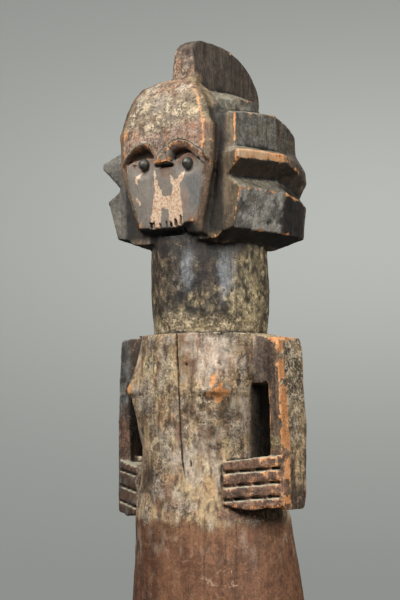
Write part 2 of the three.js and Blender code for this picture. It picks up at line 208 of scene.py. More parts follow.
@dataclass
class Speckle:
    """Smooth random values in space, from one seeded block of numbers that repeats."""

    seed: int
    cells: int = 40
    block: np.ndarray = field(init=False)

    def __post_init__(self) -> None:
        """Draws the block of numbers."""
        self.block = np.random.default_rng(self.seed).random((self.cells,) * 3)

    def at(self, points: np.ndarray, size: tuple[float, float, float] | float) -> np.ndarray:
        """Reads the values at some points.

        Args:
            points: Places in millimetres.
            size: The size of a blob in millimetres, or one for each axis.

        Returns:
            Values from 0 to 1.
        """
        place = points / np.broadcast_to(np.array(size, float), (3,))
        low = np.floor(place).astype(int)
        share = place - low
        share = share * share * (3.0 - 2.0 * share)
        total = np.zeros(len(points))
        for corner in np.ndindex(2, 2, 2):
            weight = np.prod(np.where(corner, share, 1.0 - share), axis=1)
            x, y, z = ((low + corner) % self.cells).T
            total += weight * self.block[x, y, z]
        return total


class Surface:
    """A mesh's vertices as arrays in millimetres, with the edges that join them."""

    def __init__(self, mesh: bpy.types.Mesh) -> None:
        """Reads the mesh.

        Args:
            mesh: The mesh to read and, with push, to change.
        """
        self.mesh = mesh
        count = len(mesh.vertices)
        flat = np.empty(count * 3, np.float32)
        mesh.vertices.foreach_get("co", flat)
        self.points = flat.reshape(-1, 3).astype(float) / MM
        mesh.vertex_normals.foreach_get("vector", flat)
        self.normals = flat.reshape(-1, 3).astype(float)
        ends = np.empty(len(mesh.edges) * 2, np.int32)
        mesh.edges.foreach_get("vertices", ends)
        self.edges = ends.reshape(-1, 2)
        both = np.concatenate([self.edges, self.edges[:, ::-1]])
        self.here, self.there = both.T
        self.degree = np.maximum(np.bincount(self.here, minlength=count), 1)

    def spread(self, values: np.ndarray, rounds: int) -> np.ndarray:
        """Averages values with their neighbours over the surface.

        Args:
            values: One number or one row for each vertex.
            rounds: How often to average.

        Returns:
            The averaged values.
        """
        columns = values.reshape(len(values), -1).astype(float)
        for _ in range(rounds):
            sums = [np.bincount(self.here, c[self.there], len(values)) for c in columns.T]
            columns = 0.5 * columns + 0.5 * np.stack(sums, 1) / self.degree[:, None]
        return columns.reshape(values.shape)

    def relief(self, rounds: int) -> np.ndarray:
        """How far each vertex stands out of its smoothed surroundings in millimetres, below 0 in hollows."""
        return ((self.points - self.spread(self.points, rounds)) * self.normals).sum(1)

    def move(self, points: np.ndarray) -> None:
        """Gives every vertex a new place, none of them below the floor.

        Args:
            points: The places in millimetres.
        """
        self.points = points
        self.points[:, 2] = np.maximum(self.points[:, 2], 0.0)
        self.mesh.vertices.foreach_set("co", (self.points * MM).astype(np.float32).ravel())
        self.mesh.update()

    def push(self, depth: np.ndarray) -> None:
        """Moves every vertex inwards along its normal by its depth in millimetres."""
        self.move(self.points - self.normals * depth[:, None])

    def store(self, layer: Layer, values: np.ndarray) -> None:
        """Keeps a painted layer on the mesh, one value for each vertex."""
        attribute = self.mesh.attributes.new(layer.value, "FLOAT", "POINT")
        attribute.data.foreach_set("value", np.clip(values, 0.0, 1.0).astype(np.float32))


def linear(colour: str) -> tuple[float, float, float, float]:
    """Turns a colour into Blender's linear values.

    Args:
        colour: Six hex digits.

    Returns:
        Red, green, blue and full cover.
    """
    parts = [int(colour[i:i + 2], 16) / 255.0 for i in (0, 2, 4)]
    red, green, blue = (p / 12.92 if p <= 0.04045 else ((p + 0.055) / 1.055) ** 2.4 for p in parts)
    return red, green, blue, 1.0


class Recipe:
    """One material, written as a list of steps that add and join its nodes."""

    def __init__(self, name: str) -> None:
        """Starts an empty material.

        Args:
            name: The material's name.
        """
        self.material = bpy.data.materials.new(name)
        self.material.use_nodes = True
        self.tree = self.material.node_tree
        self.tree.nodes.clear()
        self.place = self.add("ShaderNodeTexCoord").outputs["Object"]

    def add(self, kind: str, inputs: dict | None = None, **settings: object) -> bpy.types.Node:
        """Adds a node.

        Args:
            kind: The node's type.
            inputs: Values or sockets for its inputs, by name or number.
            settings: The node's own properties.

        Returns:
            The node.
        """
        node = self.tree.nodes.new(kind)
        for name, value in settings.items():
            setattr(node, name, value)
        for key, value in (inputs or {}).items():
            socket = node.inputs[key]
            if isinstance(value, bpy.types.NodeSocket):
                self.tree.links.new(value, socket)
            else:
                socket.default_value = value
        return node

    def layer(self, layer: Layer) -> bpy.types.NodeSocket:
        """Reads a painted layer."""
        return self.add("ShaderNodeAttribute", attribute_name=layer.value).outputs["Fac"]

    def math(self, operation: str, *values: object, clamp: bool = False) -> bpy.types.NodeSocket:
        """Works out a sum of sockets or numbers."""
        inputs = dict(enumerate(values))
        return self.add("ShaderNodeMath", inputs, operation=operation, use_clamp=clamp).outputs[0]

    def scale(self, colour: bpy.types.NodeSocket, factor: bpy.types.NodeSocket) -> bpy.types.NodeSocket:
        """Multiplies a colour by a factor."""
        inputs = {0: colour, "Scale": factor}
        return self.add("ShaderNodeVectorMath", inputs, operation="SCALE").outputs["Vector"]

    def length(self, vector: bpy.types.NodeSocket) -> bpy.types.NodeSocket:
        """The length of a vector."""
        return self.add("ShaderNodeVectorMath", {0: vector}, operation="LENGTH").outputs["Value"]

    def stretched(self, factors: tuple[float, float, float]) -> bpy.types.NodeSocket:
        """The object's coordinates, scaled along each axis."""
        return self.add("ShaderNodeMapping", {"Vector": self.place, "Scale": factors}).outputs[0]

    def noise(self, scale: float, detail: float = 4.0, roughness: float = 0.55,
              distortion: float = 0.0, place: bpy.types.NodeSocket | None = None) -> bpy.types.NodeSocket:
        """Cloudy noise.

        Args:
            scale: Blobs per metre.
            detail: How many finer octaves are added.
            roughness: How strong the finer octaves are.
            distortion: How far the pattern is stirred.
            place: Coordinates to read, if not the plain ones.

        Returns:
            A socket with values round 0.5.
        """
        inputs = {"Vector": place or self.place, "Scale": scale, "Detail": detail,
                  "Roughness": roughness, "Distortion": distortion}
        return self.add("ShaderNodeTexNoise", inputs).outputs["Fac"]

    def cells(self, scale: float, feature: str = "F1",
              place: bpy.types.NodeSocket | None = None) -> bpy.types.NodeSocket:
        """Distances in a pattern of cells, for flakes and chips."""
        inputs = {"Vector": place or self.place, "Scale": scale}
        return self.add("ShaderNodeTexVoronoi", inputs, feature=feature).outputs["Distance"]

    def rise(self, value: bpy.types.NodeSocket, start: float, end: float) -> bpy.types.NodeSocket:
        """A smooth step from 0 at start to 1 at end."""
        inputs = {"Value": value, "From Min": start, "From Max": end}
        return self.add("ShaderNodeMapRange", inputs, interpolation_type="SMOOTHSTEP").outputs[0]

    def mask(self, amount: bpy.types.NodeSocket, ragged: bpy.types.NodeSocket,
             spread: float = 0.9, soft: float = 0.06) -> bpy.types.NodeSocket:
        """Gives a soft painted layer a ragged, flaked border.

        Args:
            amount: The painted layer.
            ragged: Noise that breaks its border up.
            spread: How far the noise reaches into the layer.
            soft: Half the width of the border.

        Returns:
            A socket that is 1 where the layer lies and 0 elsewhere.
        """
        shifted = self.math("MULTIPLY_ADD", self.math("SUBTRACT", ragged, 0.5), spread, amount)
        return self.rise(shifted, 0.5 - soft, 0.5 + soft)

    def blend(self, share: object, below: object, above: object, mode: str = "MIX") -> bpy.types.NodeSocket:
        """Lays one colour over another.

        Args:
            share: How much of the upper colour shows.
            below: The lower colour, as hex digits or a socket.
            above: The upper colour, as hex digits or a socket.
            mode: Blender's name for the way of mixing.

        Returns:
            The mixed colour.
        """
        colours = [linear(c) if isinstance(c, str) else c for c in (below, above)]
        node = self.add("ShaderNodeMix", data_type="RGBA", blend_type=mode, clamp_factor=True)
        for socket, value in zip((node.inputs[0], node.inputs[6], node.inputs[7]), (share, *colours)):
            if isinstance(value, bpy.types.NodeSocket):
                self.tree.links.new(value, socket)
            else:
                socket.default_value = value
        return node.outputs[2]

    def bands(self, value: bpy.types.NodeSocket, *stops: tuple[float, str]) -> bpy.types.NodeSocket:
        """Turns a value into colours.

        Args:
            value: The value, from 0 to 1.
            stops: Places along it with the colour there, as hex digits.

        Returns:
            The colour.
        """
        node = self.add("ShaderNodeValToRGB", {"Fac": value})
        elements = node.color_ramp.elements
        for _ in range(len(stops) - 2):
            elements.new(0.5)
        for element, (position, colour) in zip(elements, stops):
            element.position = position
            element.color = linear(colour)
        return node.outputs["Color"]

    def bump(self, height: bpy.types.NodeSocket, depth: float,
             under: bpy.types.NodeSocket | None = None) -> bpy.types.NodeSocket:
        """Fine relief in the surface's shading.

        Args:
            height: The relief, from 0 to 1.
            depth: The height of 1, in metres.
            under: Relief that this one lies on.

        Returns:
            A normal.
        """
        inputs = {"Height": height, "Distance": depth, "Strength": 1.0}
        if under is not None:
            inputs["Normal"] = under
        return self.add("ShaderNodeBump", inputs).outputs[0]

    def surface(self, colour: object, roughness: object, normal: object = None,
                **plain: float) -> bpy.types.Material:
        """Ends the material with its shader.

        Args:
            colour: The colour's socket.
            roughness: The roughness, as a number or a socket.
            normal: The bumped normal, if there is one.
            plain: Other values of the shader that are the same all over.

        Returns:
            The finished material.
        """
        inputs = {"Base Color": colour, "Roughness": roughness}
        inputs |= {name.replace("_", " "): value for name, value in plain.items()}
        if normal is not None:
            inputs["Normal"] = normal
        shader = self.add("ShaderNodeBsdfPrincipled", inputs)
        self.add("ShaderNodeOutputMaterial", {"Surface": shader.outputs[0]})
        return self.material


@dataclass(frozen=True)
class PatinatedWood:
    """Old hardwood under grey and tan coats, cream crust, dirt and wear, with painted shade in its hollows,
    gaps and undersides.
    """

    flake_tan: str = "b89d78"
    flake_pale: str = "dfcfb2"
    pit: str = "2b2119"
    check: str = "2e1f15"
    cream_tan: str = "b98663"
    cream_pale: str = "dfc5a8"
    worn_dark: str = "9c5a30"
    worn_mid: str = "d8935a"
    worn_pale: str = "f0c08c"
    scrape: str = "bb9c80"
    dust: str = "b3ad92"
    grime: str = "0d0a07"
    mottle_gain: float = 1.25
    dark_fleck: float = 0.62
    pale_fleck: float = 0.6
    grain_gain: float = 1.0

    def build(self) -> bpy.types.Material:
        """Writes the material.

        Returns:
            The material for the whole carved figure.
        """
        mix = Recipe("patinated_wood")
        grit = mix.noise(430.0, 5.0, 0.7)
        clouds = mix.noise(130.0, 6.0, 0.65, 0.4)
        drifts = mix.noise(38.0, 5.0, 0.6, 0.3)
        fibres = mix.noise(560.0, 4.0, 0.65, 0.3, mix.stretched((1.0, 1.0, 0.06)))
        streaks = mix.noise(150.0, 5.0, 0.62, 0.4, mix.stretched((1.0, 1.0, 0.12)))
        ragged = self.sum_of(mix, (grit, 0.4), (clouds, 0.6))
        flakes = mix.cells(330.0)

        ground = mix.add("ShaderNodeAttribute", attribute_name=GROUND).outputs["Color"]
        cloudy = mix.rise(self.sum_of(mix, (grit, 0.45), (clouds, 0.35), (drifts, 0.2)), 0.44, 0.56)
        colour = self.vary(mix, ground, cloudy, mix.layer(Layer.MOTTLE), self.mottle_gain)
        grainy = mix.rise(self.sum_of(mix, (fibres, 0.55), (streaks, 0.45)), 0.4, 0.6)
        colour = self.vary(mix, colour, grainy, mix.layer(Layer.GRAIN), self.grain_gain)

        colour = self.fleck(mix, colour)
        checks = mix.noise(230.0, 3.0, 0.6, 0.5, mix.stretched((1.0, 1.0, 0.04)))
        checks = mix.math("MULTIPLY", mix.rise(checks, 0.6, 0.655), mix.layer(Layer.GRAIN))
        colour = mix.blend(mix.math("MULTIPLY", checks, 1.3, clamp=True), colour, self.check)

        crust = mix.mask(mix.layer(Layer.CRUST), ragged, 2.2, 0.1)
        crust_colour = mix.bands(grit, (0.38, self.flake_tan), (0.6, self.flake_pale))
        colour = mix.blend(mix.math("MULTIPLY", crust, 0.75), colour, crust_colour)
        pits = mix.mask(mix.layer(Layer.PITS), self.sum_of(mix, (grit, 0.6), (drifts, 0.4)), 2.4, 0.1)
        colour = mix.blend(mix.math("MULTIPLY", pits, 0.8), colour, self.pit)
        cream = mix.mask(mix.layer(Layer.CREAM), ragged, 1.7, 0.06)
        colour = mix.blend(cream, colour, mix.bands(grit, (0.4, self.cream_tan), (0.54, self.cream_pale)))
        worn = mix.mask(mix.layer(Layer.WORN), self.sum_of(mix, (ragged, 0.85), (fibres, 0.15)), 2.6, 0.16)
        wear = self.sum_of(mix, (fibres, 0.3), (clouds, 0.35), (grit, 0.35))
        worn_colour = mix.bands(wear, (0.36, self.worn_dark), (0.5, self.worn_mid), (0.64, self.worn_pale))
        colour = mix.blend(worn, colour, worn_colour)
        colour = mix.blend(self.hairlines(mix, clouds), colour, self.scrape)
        dust = mix.mask(mix.layer(Layer.DUST), ragged, 1.4, 0.25)
        colour = mix.blend(mix.math("MULTIPLY", dust, 0.85), colour, self.dust)
        # Near-black: dirt, and painted shade where the figure's own parts would shadow it
        colour = mix.blend(mix.math("MULTIPLY", mix.layer(Layer.GRIME), 0.95), colour, self.grime)

        rough = mix.math("MULTIPLY_ADD", mix.layer(Layer.SHEEN), -0.4, 0.82)
        rough = mix.math("MULTIPLY_ADD", crust, 0.15, rough)
        rough = mix.math("MULTIPLY_ADD", mix.math("SUBTRACT", clouds, 0.5), 0.6, rough, clamp=True)
        roughened = mix.math("MULTIPLY_ADD", mix.layer(Layer.MOTTLE), 0.8, 0.2)
        grit_relief = mix.math("MULTIPLY", roughened, ragged)
        height = mix.math("MULTIPLY_ADD", crust, mix.math("MULTIPLY_ADD", flakes, 0.4, 0.25), grit_relief)
        height = mix.math("MULTIPLY_ADD", worn, -0.25, height)
        relief = mix.bump(fibres, 0.0003)
        relief = mix.bump(height, 0.0014, relief)
        return mix.surface(colour, rough, relief)

    def fleck(self, mix: Recipe, colour: bpy.types.NodeSocket) -> bpy.types.NodeSocket:
        """Scatters hard-edged dark and pale flecks over a colour where it is mottled.

        Args:
            mix: The material's recipe.
            colour: The colour to fleck.

        Returns:
            The flecked colour.
        """
        taller = mix.stretched((1.0, 1.0, 0.55))
        dark = mix.rise(mix.noise(270.0, 5.0, 0.72, 0.7, taller), 0.55, 0.6)
        pale = mix.rise(mix.noise(310.0, 5.0, 0.72, 0.9), 0.56, 0.61)
        factor = mix.math("MULTIPLY_ADD", dark, -self.dark_fleck, mix.math("MULTIPLY", pale, self.pale_fleck))
        factor = mix.math("MULTIPLY_ADD", factor, mix.layer(Layer.MOTTLE), 1.0)
        return mix.scale(colour, factor)

    @staticmethod
    def hairlines(mix: Recipe, broken: bpy.types.NodeSocket) -> bpy.types.NodeSocket:
        """Thin curved scratches where the layer of scrapes is high.

        Args:
            mix: The material's recipe.
            broken: The pattern that breaks them up.

        Returns:
            A socket that is 1 on a scratch.
        """
        lines = []
        for scale, squeeze in ((26.0, (1.0, 1.0, 0.7)), (44.0, (0.8, 0.8, 1.3))):
            swirl = mix.noise(scale, 1.0, 0.5, 0.6, mix.stretched(squeeze))
            lines.append(mix.rise(mix.math("ABSOLUTE", mix.math("SUBTRACT", swirl, 0.5)), 0.009, 0.003))
        share = mix.math("MULTIPLY", mix.math("MAXIMUM", *lines), mix.rise(broken, 0.5, 0.58))
        return mix.math("MULTIPLY", share, mix.layer(Layer.SCRAPES), clamp=True)

    @staticmethod
    def sum_of(mix: Recipe, *parts: tuple[bpy.types.NodeSocket, float]) -> bpy.types.NodeSocket:
        """Adds sockets up.

        Args:
            mix: The material's recipe.
            parts: Sockets, each with its share.

        Returns:
            The sum.
        """
        total = mix.math("MULTIPLY", *parts[0])
        for socket, share in parts[1:]:
            total = mix.math("MULTIPLY_ADD", socket, share, total)
        return total

    @staticmethod
    def vary(mix: Recipe, colour: bpy.types.NodeSocket, pattern: bpy.types.NodeSocket,
             amount: bpy.types.NodeSocket, gain: float) -> bpy.types.NodeSocket:
        """Darkens and lightens a colour by a pattern.

        Args:
            mix: The material's recipe.
            colour: The colour to vary.
            pattern: The pattern, from 0 to 1.
            amount: How strongly the pattern shows at each place.
            gain: How far the colour goes up and down where the amount is 1.

        Returns:
            The varied colour.
        """
        swing = mix.math("MULTIPLY", mix.math("MULTIPLY", mix.math("SUBTRACT", pattern, 0.5), amount), gain)
        factor = mix.math("MAXIMUM", mix.math("ADD", swing, 1.0), 0.12)
        return mix.scale(colour, factor)


@dataclass(frozen=True)
class TackIron:
    """Dark iron in dark and paler rubbed patches, the rubbed ones a little rougher, with rust specks."""

    dark: str = "33332f"
    rubbed: str = "65635a"
    rust: str = "4a3424"

    def build(self) -> bpy.types.Material:
        """Writes the material.

        Returns:
            The material for the eye tacks.
        """
        mix = Recipe("tack_iron")
        pits = mix.noise(900.0, 4.0, 0.6)
        patches = mix.noise(300.0, 3.0, 0.5)
        colour = mix.bands(patches, (0.35, self.dark), (0.65, self.rubbed))
        colour = mix.blend(mix.math("MULTIPLY", mix.rise(pits, 0.56, 0.68), 0.6), colour, self.rust)
        rough = mix.math("MULTIPLY_ADD", patches, 0.25, 0.34)
        return mix.surface(colour, rough, mix.bump(pits, 0.00012), Metallic=0.35)


@dataclass(frozen=True)
class Gash:
    """A narrow cut in the wood along a path of x, y, z and half width, in millimetres."""

    path: Path
    depth: float


@dataclass
class Face:
    """The brow, the hollows beneath it, the nose and the mouth, carved finer than the CAD solid has them."""

    rim_x: tuple[float, ...] = (
        -66, -55, -49.4, -41.5, -30.6, -19.7, -13.5, -7.3, -4, -2.8, 1.3, 8, 12.5, 23, 33.4, 42.3, 52,
        55.5, 66)
    rim_z: tuple[float, ...] = (
        668, 677.5, 682.8, 690.1, 694.7, 695.1, 691.5, 683.9, 678.5, 677, 683.7, 688, 691.9, 694.1, 691.7,
        686.2, 679.4, 675, 664)
    step_x: tuple[float, ...] = (
        -66, -57, -54, -46, -36.4, -25.5, -17.7, -13, -9.8, -9.3, 9.3, 9.8, 12.4, 21.5, 30.5, 36, 41, 45,
        50, 57, 66)
    step_z: tuple[float, ...] = (
        664, 671, 675.5, 684, 688.5, 689.5, 686, 680, 675, 670.6, 672, 676, 681.5, 684.6, 683.8, 680.5, 676,
        672.5, 669, 664, 660)
    hollows: tuple[Path, ...] = (
        ((12.6, 676.0, 2.6), (15.0, 678.5, 4.2), (21.0, 681.5, 2.9), (29.0, 682.0, 1.6), (34.0, 680.0, 1.0)),
        ((-52.0, 677.0, 1.8), (-46.0, 680.5, 3.0), (-38.0, 683.5, 4.2), (-28.0, 684.6, 4.0),
         (-18.5, 681.0, 2.4)),
        ((-13.0, 670.2, 1.5), (9.0, 669.0, 1.7)), ((46.5, 671.8, 1.0), (47.5, 671.4, 1.0)))
    eyes: tuple[tuple[float, float], ...] = ((29.7, 669.1), (-29.7, 673.3))
    teeth: tuple[tuple[float, float], ...] = (
        (-22.4, 613.0), (-17.8, 613.2), (-9.3, 611.0), (-0.9, 613.4), (5.0, 611.5), (11.9, 614.2),
        (18.7, 616.0))
    forehead_y: float = -79.3
    lip_y: float = -75.6
    panel_y: float = -72.2
    nose_out: float = 3.9
    socket_depth: float = 2.6
    hollow_depth: float = 3.6
    slit_depth: float = 4.0
    mouth_x: tuple[float, ...] = (-38, -20, 0, 14, 24, 36, 42)
    mouth_lift: tuple[float, ...] = (0.0, -1.0, -2.0, -1.0, 1.5, 4.0, 3.0)
    plate_z: tuple[float, ...] = (592, 607, 640, 662, 690, 707, 720, 733, 746, 757, 765)
    plate_x: tuple[float, ...] = (46, 46.5, 55, 62, 64, 63.5, 58, 51.5, 40, 26, 19)
    swell_z: tuple[float, ...] = (690, 707, 720, 733, 746, 757, 765)
    swell_x: tuple[float, ...] = (0, 3, 5, 8, 15, 23, 14)
    crease_z: tuple[float, ...] = (607, 612, 630, 652, 684, 694, 710, 729, 750, 762)
    crease_x: tuple[float, ...] = (38, 39.2, 44.5, 49.8, 52.6, 53.4, 51.2, 43.2, 28, 8)

    def half_width(self, z: np.ndarray) -> np.ndarray:
        """Half the width of the face and the forehead at each height, without the swell."""
        return np.interp(z, self.plate_z, self.plate_x)

    def swell(self, z: np.ndarray) -> np.ndarray:
        """How much wider the forehead is on the figure's right at each height."""
        return np.interp(z, self.swell_z, self.swell_x)

    def crease(self, z: np.ndarray) -> np.ndarray:
        """How far the bend at the side of the face and the forehead lies from the middle."""
        return np.interp(z, self.crease_z, self.crease_x)

    def below_rim(self, x: np.ndarray, z: np.ndarray) -> np.ndarray:
        """How far below the rim of the forehead a place lies, in millimetres."""
        return np.interp(x, self.rim_x, self.rim_z) - z

    def in_hollow(self, flat: np.ndarray, blur: float) -> np.ndarray:
        """1 inside the hollows under the brow and the nose."""
        return np.maximum.reduce([stroke(flat, path, blur) for path in self.hollows])

    def in_slit(self, x: np.ndarray, z: np.ndarray) -> np.ndarray:
        """Marks the slits between the teeth.

        Args:
            x: Places across the face in millimetres.
            z: Their heights.

        Returns:
            1 inside a slit and 0 elsewhere.
        """
        slits = [ramp(np.abs(x - place), 1.1, 0.5) * ramp(z, top + 0.6, top - 0.6)
                 for place, top in self.teeth]
        return np.maximum.reduce(slits) * ramp(z, 598.0, 601.0)

    def shape(self, surface: Surface) -> None:
        """Gives the vertices on the face's front their new places.

        Args:
            surface: The fine skin, which is changed.
        """
        x, y, z = surface.points.T.copy()
        below = self.below_rim(x, z)
        past_step = np.interp(x, self.step_x, self.step_z) - z
        forehead = self.forehead_y + 3.3 * ramp(np.abs(x), 36.0, 56.0) + 0.03 * np.maximum(z - 690.0, 0.0)
        panel = self.panel_y - 0.025 * np.abs(x)
        for side_x, eye_z in self.eyes:
            panel += self.socket_depth * ramp(np.hypot(x - side_x, z - eye_z), 18.0, 6.6)
        nose = ramp(np.abs(x), 11.5, 9.0)
        lip = self.lip_y - self.nose_out * nose
        share = np.clip(below / np.maximum(below - past_step, 0.5), 0.0, 1.0)
        band = forehead + 0.3 + (lip - forehead - 0.3) * share ** 1.6
        band += 0.9 * np.exp(-((below - 0.4) / 0.8) ** 2) * ramp(x, 6.0, 10.0)
        target = np.where(below < 0.0, forehead, band)
        target = target + (panel - target) * ramp(past_step, -0.5, 0.7)
        flat = np.stack([x, z], 1)
        target += self.hollow_depth * self.in_hollow(flat, 1.1)
        chosen = (y < -62.0) * ramp(np.abs(x), 55.0, 51.0) * ramp(z, 656.0, 662.0) * ramp(z, 701.0, 696.0)
        new_y = y + (target - y) * chosen
        mouth = ramp(y, -57.0, -65.0) * ramp(np.abs(x), 50.0, 40.0)
        mouth = mouth * ramp(z, 640.0, 607.0) * ramp(z, 597.0, 603.0)
        new_z = z + mouth * np.interp(x, self.mouth_x, self.mouth_lift)
        new_y += self.slit_depth * self.in_slit(x, z) * (y < -60.0) * ramp(np.abs(x), 30.0, 28.0)
        surface.move(np.stack([x, new_y, new_z], 1))


@dataclass
class CarvedFigure:
    """The carved wood as one fine mesh that keeps the CAD solid's form."""

    node: str = "figure"
    piece_name: str = "carved_figure"
    voxel: float = 1.4
    coarse_voxel: float = 2.4
    most_faces: int = 190_000
    crest_lean: float = 5.0
    fillet_rounds: int = 60
    bevel_slope: float = 0.3
    bevel_z: tuple[float, ...] = (704, 746, 765)
    bevel_y: tuple[float, ...] = (-64, -48, -34)
    adze_marks: int = 1500
    adze_reach: float = 9.0
    adze_depth: float = 0.5
    hole_depth: float = 2.2
    crack: Gash = Gash((
        (12.4, -70.0, 497.5, 0.9), (14.2, -69.6, 469.6, 0.8), (15.3, -69.3, 439.2, 0.7),
        (16.5, -69.1, 419.1, 0.7), (17.6, -68.8, 394.0, 0.65), (19.8, -68.2, 369.0, 0.55),
        (25.0, -66.5, 344.1, 0.4), (29.0, -66.0, 331.0, 0.2)), 5.0)
    second_gash: Gash = Gash((
        (28.4, -66.5, 375.0, 0.4), (29.2, -66.4, 366.0, 1.15), (31.0, -66.0, 356.0, 0.4)), 4.5)
    wormholes: Path = (
        (62.0, -34.5, 366.5), (48.5, -52.0, 333.0), (24.0, -67.0, 464.5), (43.0, -57.0, 464.0),
        (32.5, -63.5, 438.5), (43.0, -44.0, 547.0), (50.0, -38.0, 540.0), (54.0, -30.0, 540.0),
        (-12.0, -61.0, 556.0), (-40.0, -58.0, 402.0), (-20.0, -75.0, 318.0), (52.0, 52.0, 430.0),
        (-30.0, 65.0, 392.0), (20.0, 62.0, 545.0))

    def build(self) -> bpy.types.Object:
        """Makes the mesh, carves its detail and paints its layers.

        Returns:
            The finished piece, without its material.
        """
        piece = self.take_block()
        self.refine(piece)
        Face().shape(Surface(piece.data))
        surface = Surface(piece.data)
        self.narrow_crest(surface)
        self.soften_shoulders(surface)
        surface.push(self.carve(surface))
        self.thin_out(piece)
        self.paint(Surface(piece.data))
        make_active(piece)
        bpy.ops.object.shade_smooth()
        return piece

    def take_block(self) -> bpy.types.Object:
        """Copies the CAD node's mesh, closes its seams and gives it an even, fine skin.

        Returns:
            The piece, with the solid's form and no detail yet.
        """
        mesh = frame["nodes"][self.node].data.copy()
        piece = bpy.data.objects.new(self.piece_name, mesh)
        bpy.context.scene.collection.objects.link(piece)
        mesh.materials.clear()
        make_active(piece)
        bpy.ops.object.mode_set(mode="EDIT")
        bpy.ops.mesh.select_all(action="SELECT")
        bpy.ops.mesh.remove_doubles(threshold=0.00001)
        bpy.ops.object.mode_set(mode="OBJECT")
        voxel = self.voxel
        apply_modifier(piece, "REMESH", mode="VOXEL", voxel_size=voxel * MM)
        return piece

    def refine(self, piece: bpy.types.Object) -> None:
        """Adds faces where the crack, the teeth and the face need them.

        Args:
            piece: The fine skin, which is changed.
        """
        mesh = piece.data
        centres = np.empty(len(mesh.polygons) * 3, np.float32)
        mesh.polygons.foreach_get("center", centres)
        centres = centres.reshape(-1, 3).astype(float) / MM
        x, y, z = centres.T
        chosen = (y < -58.0) & (np.abs(x) < 27.0) & (z > 600.0) & (z < 618.0)
        chosen |= (y < -62.0) & (np.abs(x) < 58.0) & (z > 664.0) & (z < 699.0)
        for gash in (self.crack, self.second_gash):
            chosen |= from_path(centres, gash.path)[0] < 2.5
        mesh.polygons.foreach_set("select", chosen)
        mesh.vertices.foreach_set("select", np.zeros(len(mesh.vertices), bool))
        mesh.edges.foreach_set("select", np.zeros(len(mesh.edges), bool))
        make_active(piece)
        bpy.context.tool_settings.mesh_select_mode = (False, False, True)
        bpy.ops.object.mode_set(mode="EDIT")
        bpy.ops.mesh.subdivide(number_cuts=1)
        bpy.ops.object.mode_set(mode="OBJECT")

    def thin_out(self, piece: bpy.types.Object) -> None:
        """Takes faces away where the surface is plain.

        Args:
            piece: The carved skin, which is changed.
        """
        faces = sum(len(p.vertices) - 2 for p in piece.data.polygons)
        if faces > self.most_faces:
            ratio = self.most_faces / faces
            apply_modifier(piece, "DECIMATE", ratio=ratio, use_collapse_triangulate=True)

    def narrow_crest(self, surface: Surface) -> None:
        """Lets the crest's flank on the figure's left lean in towards its top.

        Args:
            surface: The fine skin, which is changed.
        """
        x, y, z = surface.points.T.copy()
        lean = self.crest_lean * ramp(z, 764.0, 797.0) * ramp(x, 4.0, 16.0) * ramp(y, 20.0, -30.0)
        surface.move(np.stack([x - lean, y, z], 1))

    def soften_shoulders(self, surface: Surface) -> None:
        """Lets the trunk's round run on into the arms where they join it above the slots.

        Args:
            surface: The fine skin, which is changed. It is only filled there, never cut.
        """
        x, y, z = surface.points.T
        turn = np.degrees(np.arctan2(np.abs(x), -y))
        joint = ramp(turn, 50.0, 60.0) * ramp(turn, 84.0, 76.0)
        joint = joint * ramp(z, SLOT_TOP_Z, SLOT_TOP_Z + 5.0) * ramp(z, 520.0, 515.0)
        joint *= ramp(np.abs(x), 58.0, 62.0) * ramp(np.abs(x), 100.0, 92.0)
        step = (surface.spread(surface.points, self.fillet_rounds) - surface.points) * joint[:, None]
        step[:, 2] *= ramp(z, 492.0, 486.0)
        outward = (step[:, 0] * x + step[:, 1] * y) / np.maximum(np.hypot(x, y), 1.0)
        surface.move(surface.points + step * ramp(outward, 0.0, 0.4)[:, None])

    def carve(self, surface: Surface) -> np.ndarray:
        """Works out how deep each vertex sinks for tool marks, grain, chips, cracks and holes.

        Args:
            surface: The fine skin.

        Returns:
            The depth of each vertex in millimetres, below 0 where it rises.
        """
        points, speckle = surface.points, Speckle(11)
        x, y, z = points.T
        head = ramp(z, 590.0, 600.0)
        plate = ramp(y, -60.0, -64.0) * head
        depth = self.tool_marks(points) * (1.0 - 0.75 * plate)
        depth += 0.45 * (speckle.at(points, (3.0, 3.0, 45.0)) - 0.5)
        depth += 0.35 * (speckle.at(points, 4.0) - 0.5) * ramp(z, 300.0, 320.0)
        upper = ramp(y - np.interp(z, self.bevel_z, self.bevel_y), 3.0, -2.0)
        upper *= ramp(np.abs(x), 17.5, 19.5)
        upper *= ramp(z, 704.0, 716.0) * ramp(z, 764.0, 756.0)
        depth += self.bevel_slope * np.clip(x - Face().crease(z), 0.0, 9.0) * upper
        sharp = surface.spread(np.abs(surface.relief(10)), 3)
        edge = ramp(sharp, 0.25, 0.9)
        depth += edge * (0.25 + 1.3 * ramp(speckle.at(points, 7.0), 0.45, 0.85))
        for gash in (self.crack, self.second_gash):
            away, half = from_path(points, gash.path)
            half = half * (0.7 + 0.6 * speckle.at(points, 5.0))
            depth += gash.depth * ramp(away - half, 0.7, -0.35)
        for hole in self.wormholes:
            away = np.linalg.norm(points - hole, axis=1)
            depth += self.hole_depth * ramp(away, 1.7, 0.7)
        return depth

    def tool_marks(self, points: np.ndarray) -> np.ndarray:
        """Works out shallow dishes side by side, as an adze leaves them, taller than wide.

        Args:
            points: Places in millimetres.

        Returns:
            The depth at each place.
        """
        squeeze = np.array([1.0, 1.0, 0.45])
        rng = np.random.default_rng(7)
        seeds = points[rng.choice(len(points), self.adze_marks, replace=False)] * squeeze
        tree = kdtree.KDTree(len(seeds))
        for index, seed in enumerate(seeds):
            tree.insert(seed, index)
        tree.balance()
        away = np.array([tree.find(p)[2] for p in points * squeeze])
        return self.adze_depth * (1.0 - np.clip(away / self.adze_reach, 0.0, 1.3) ** 2)

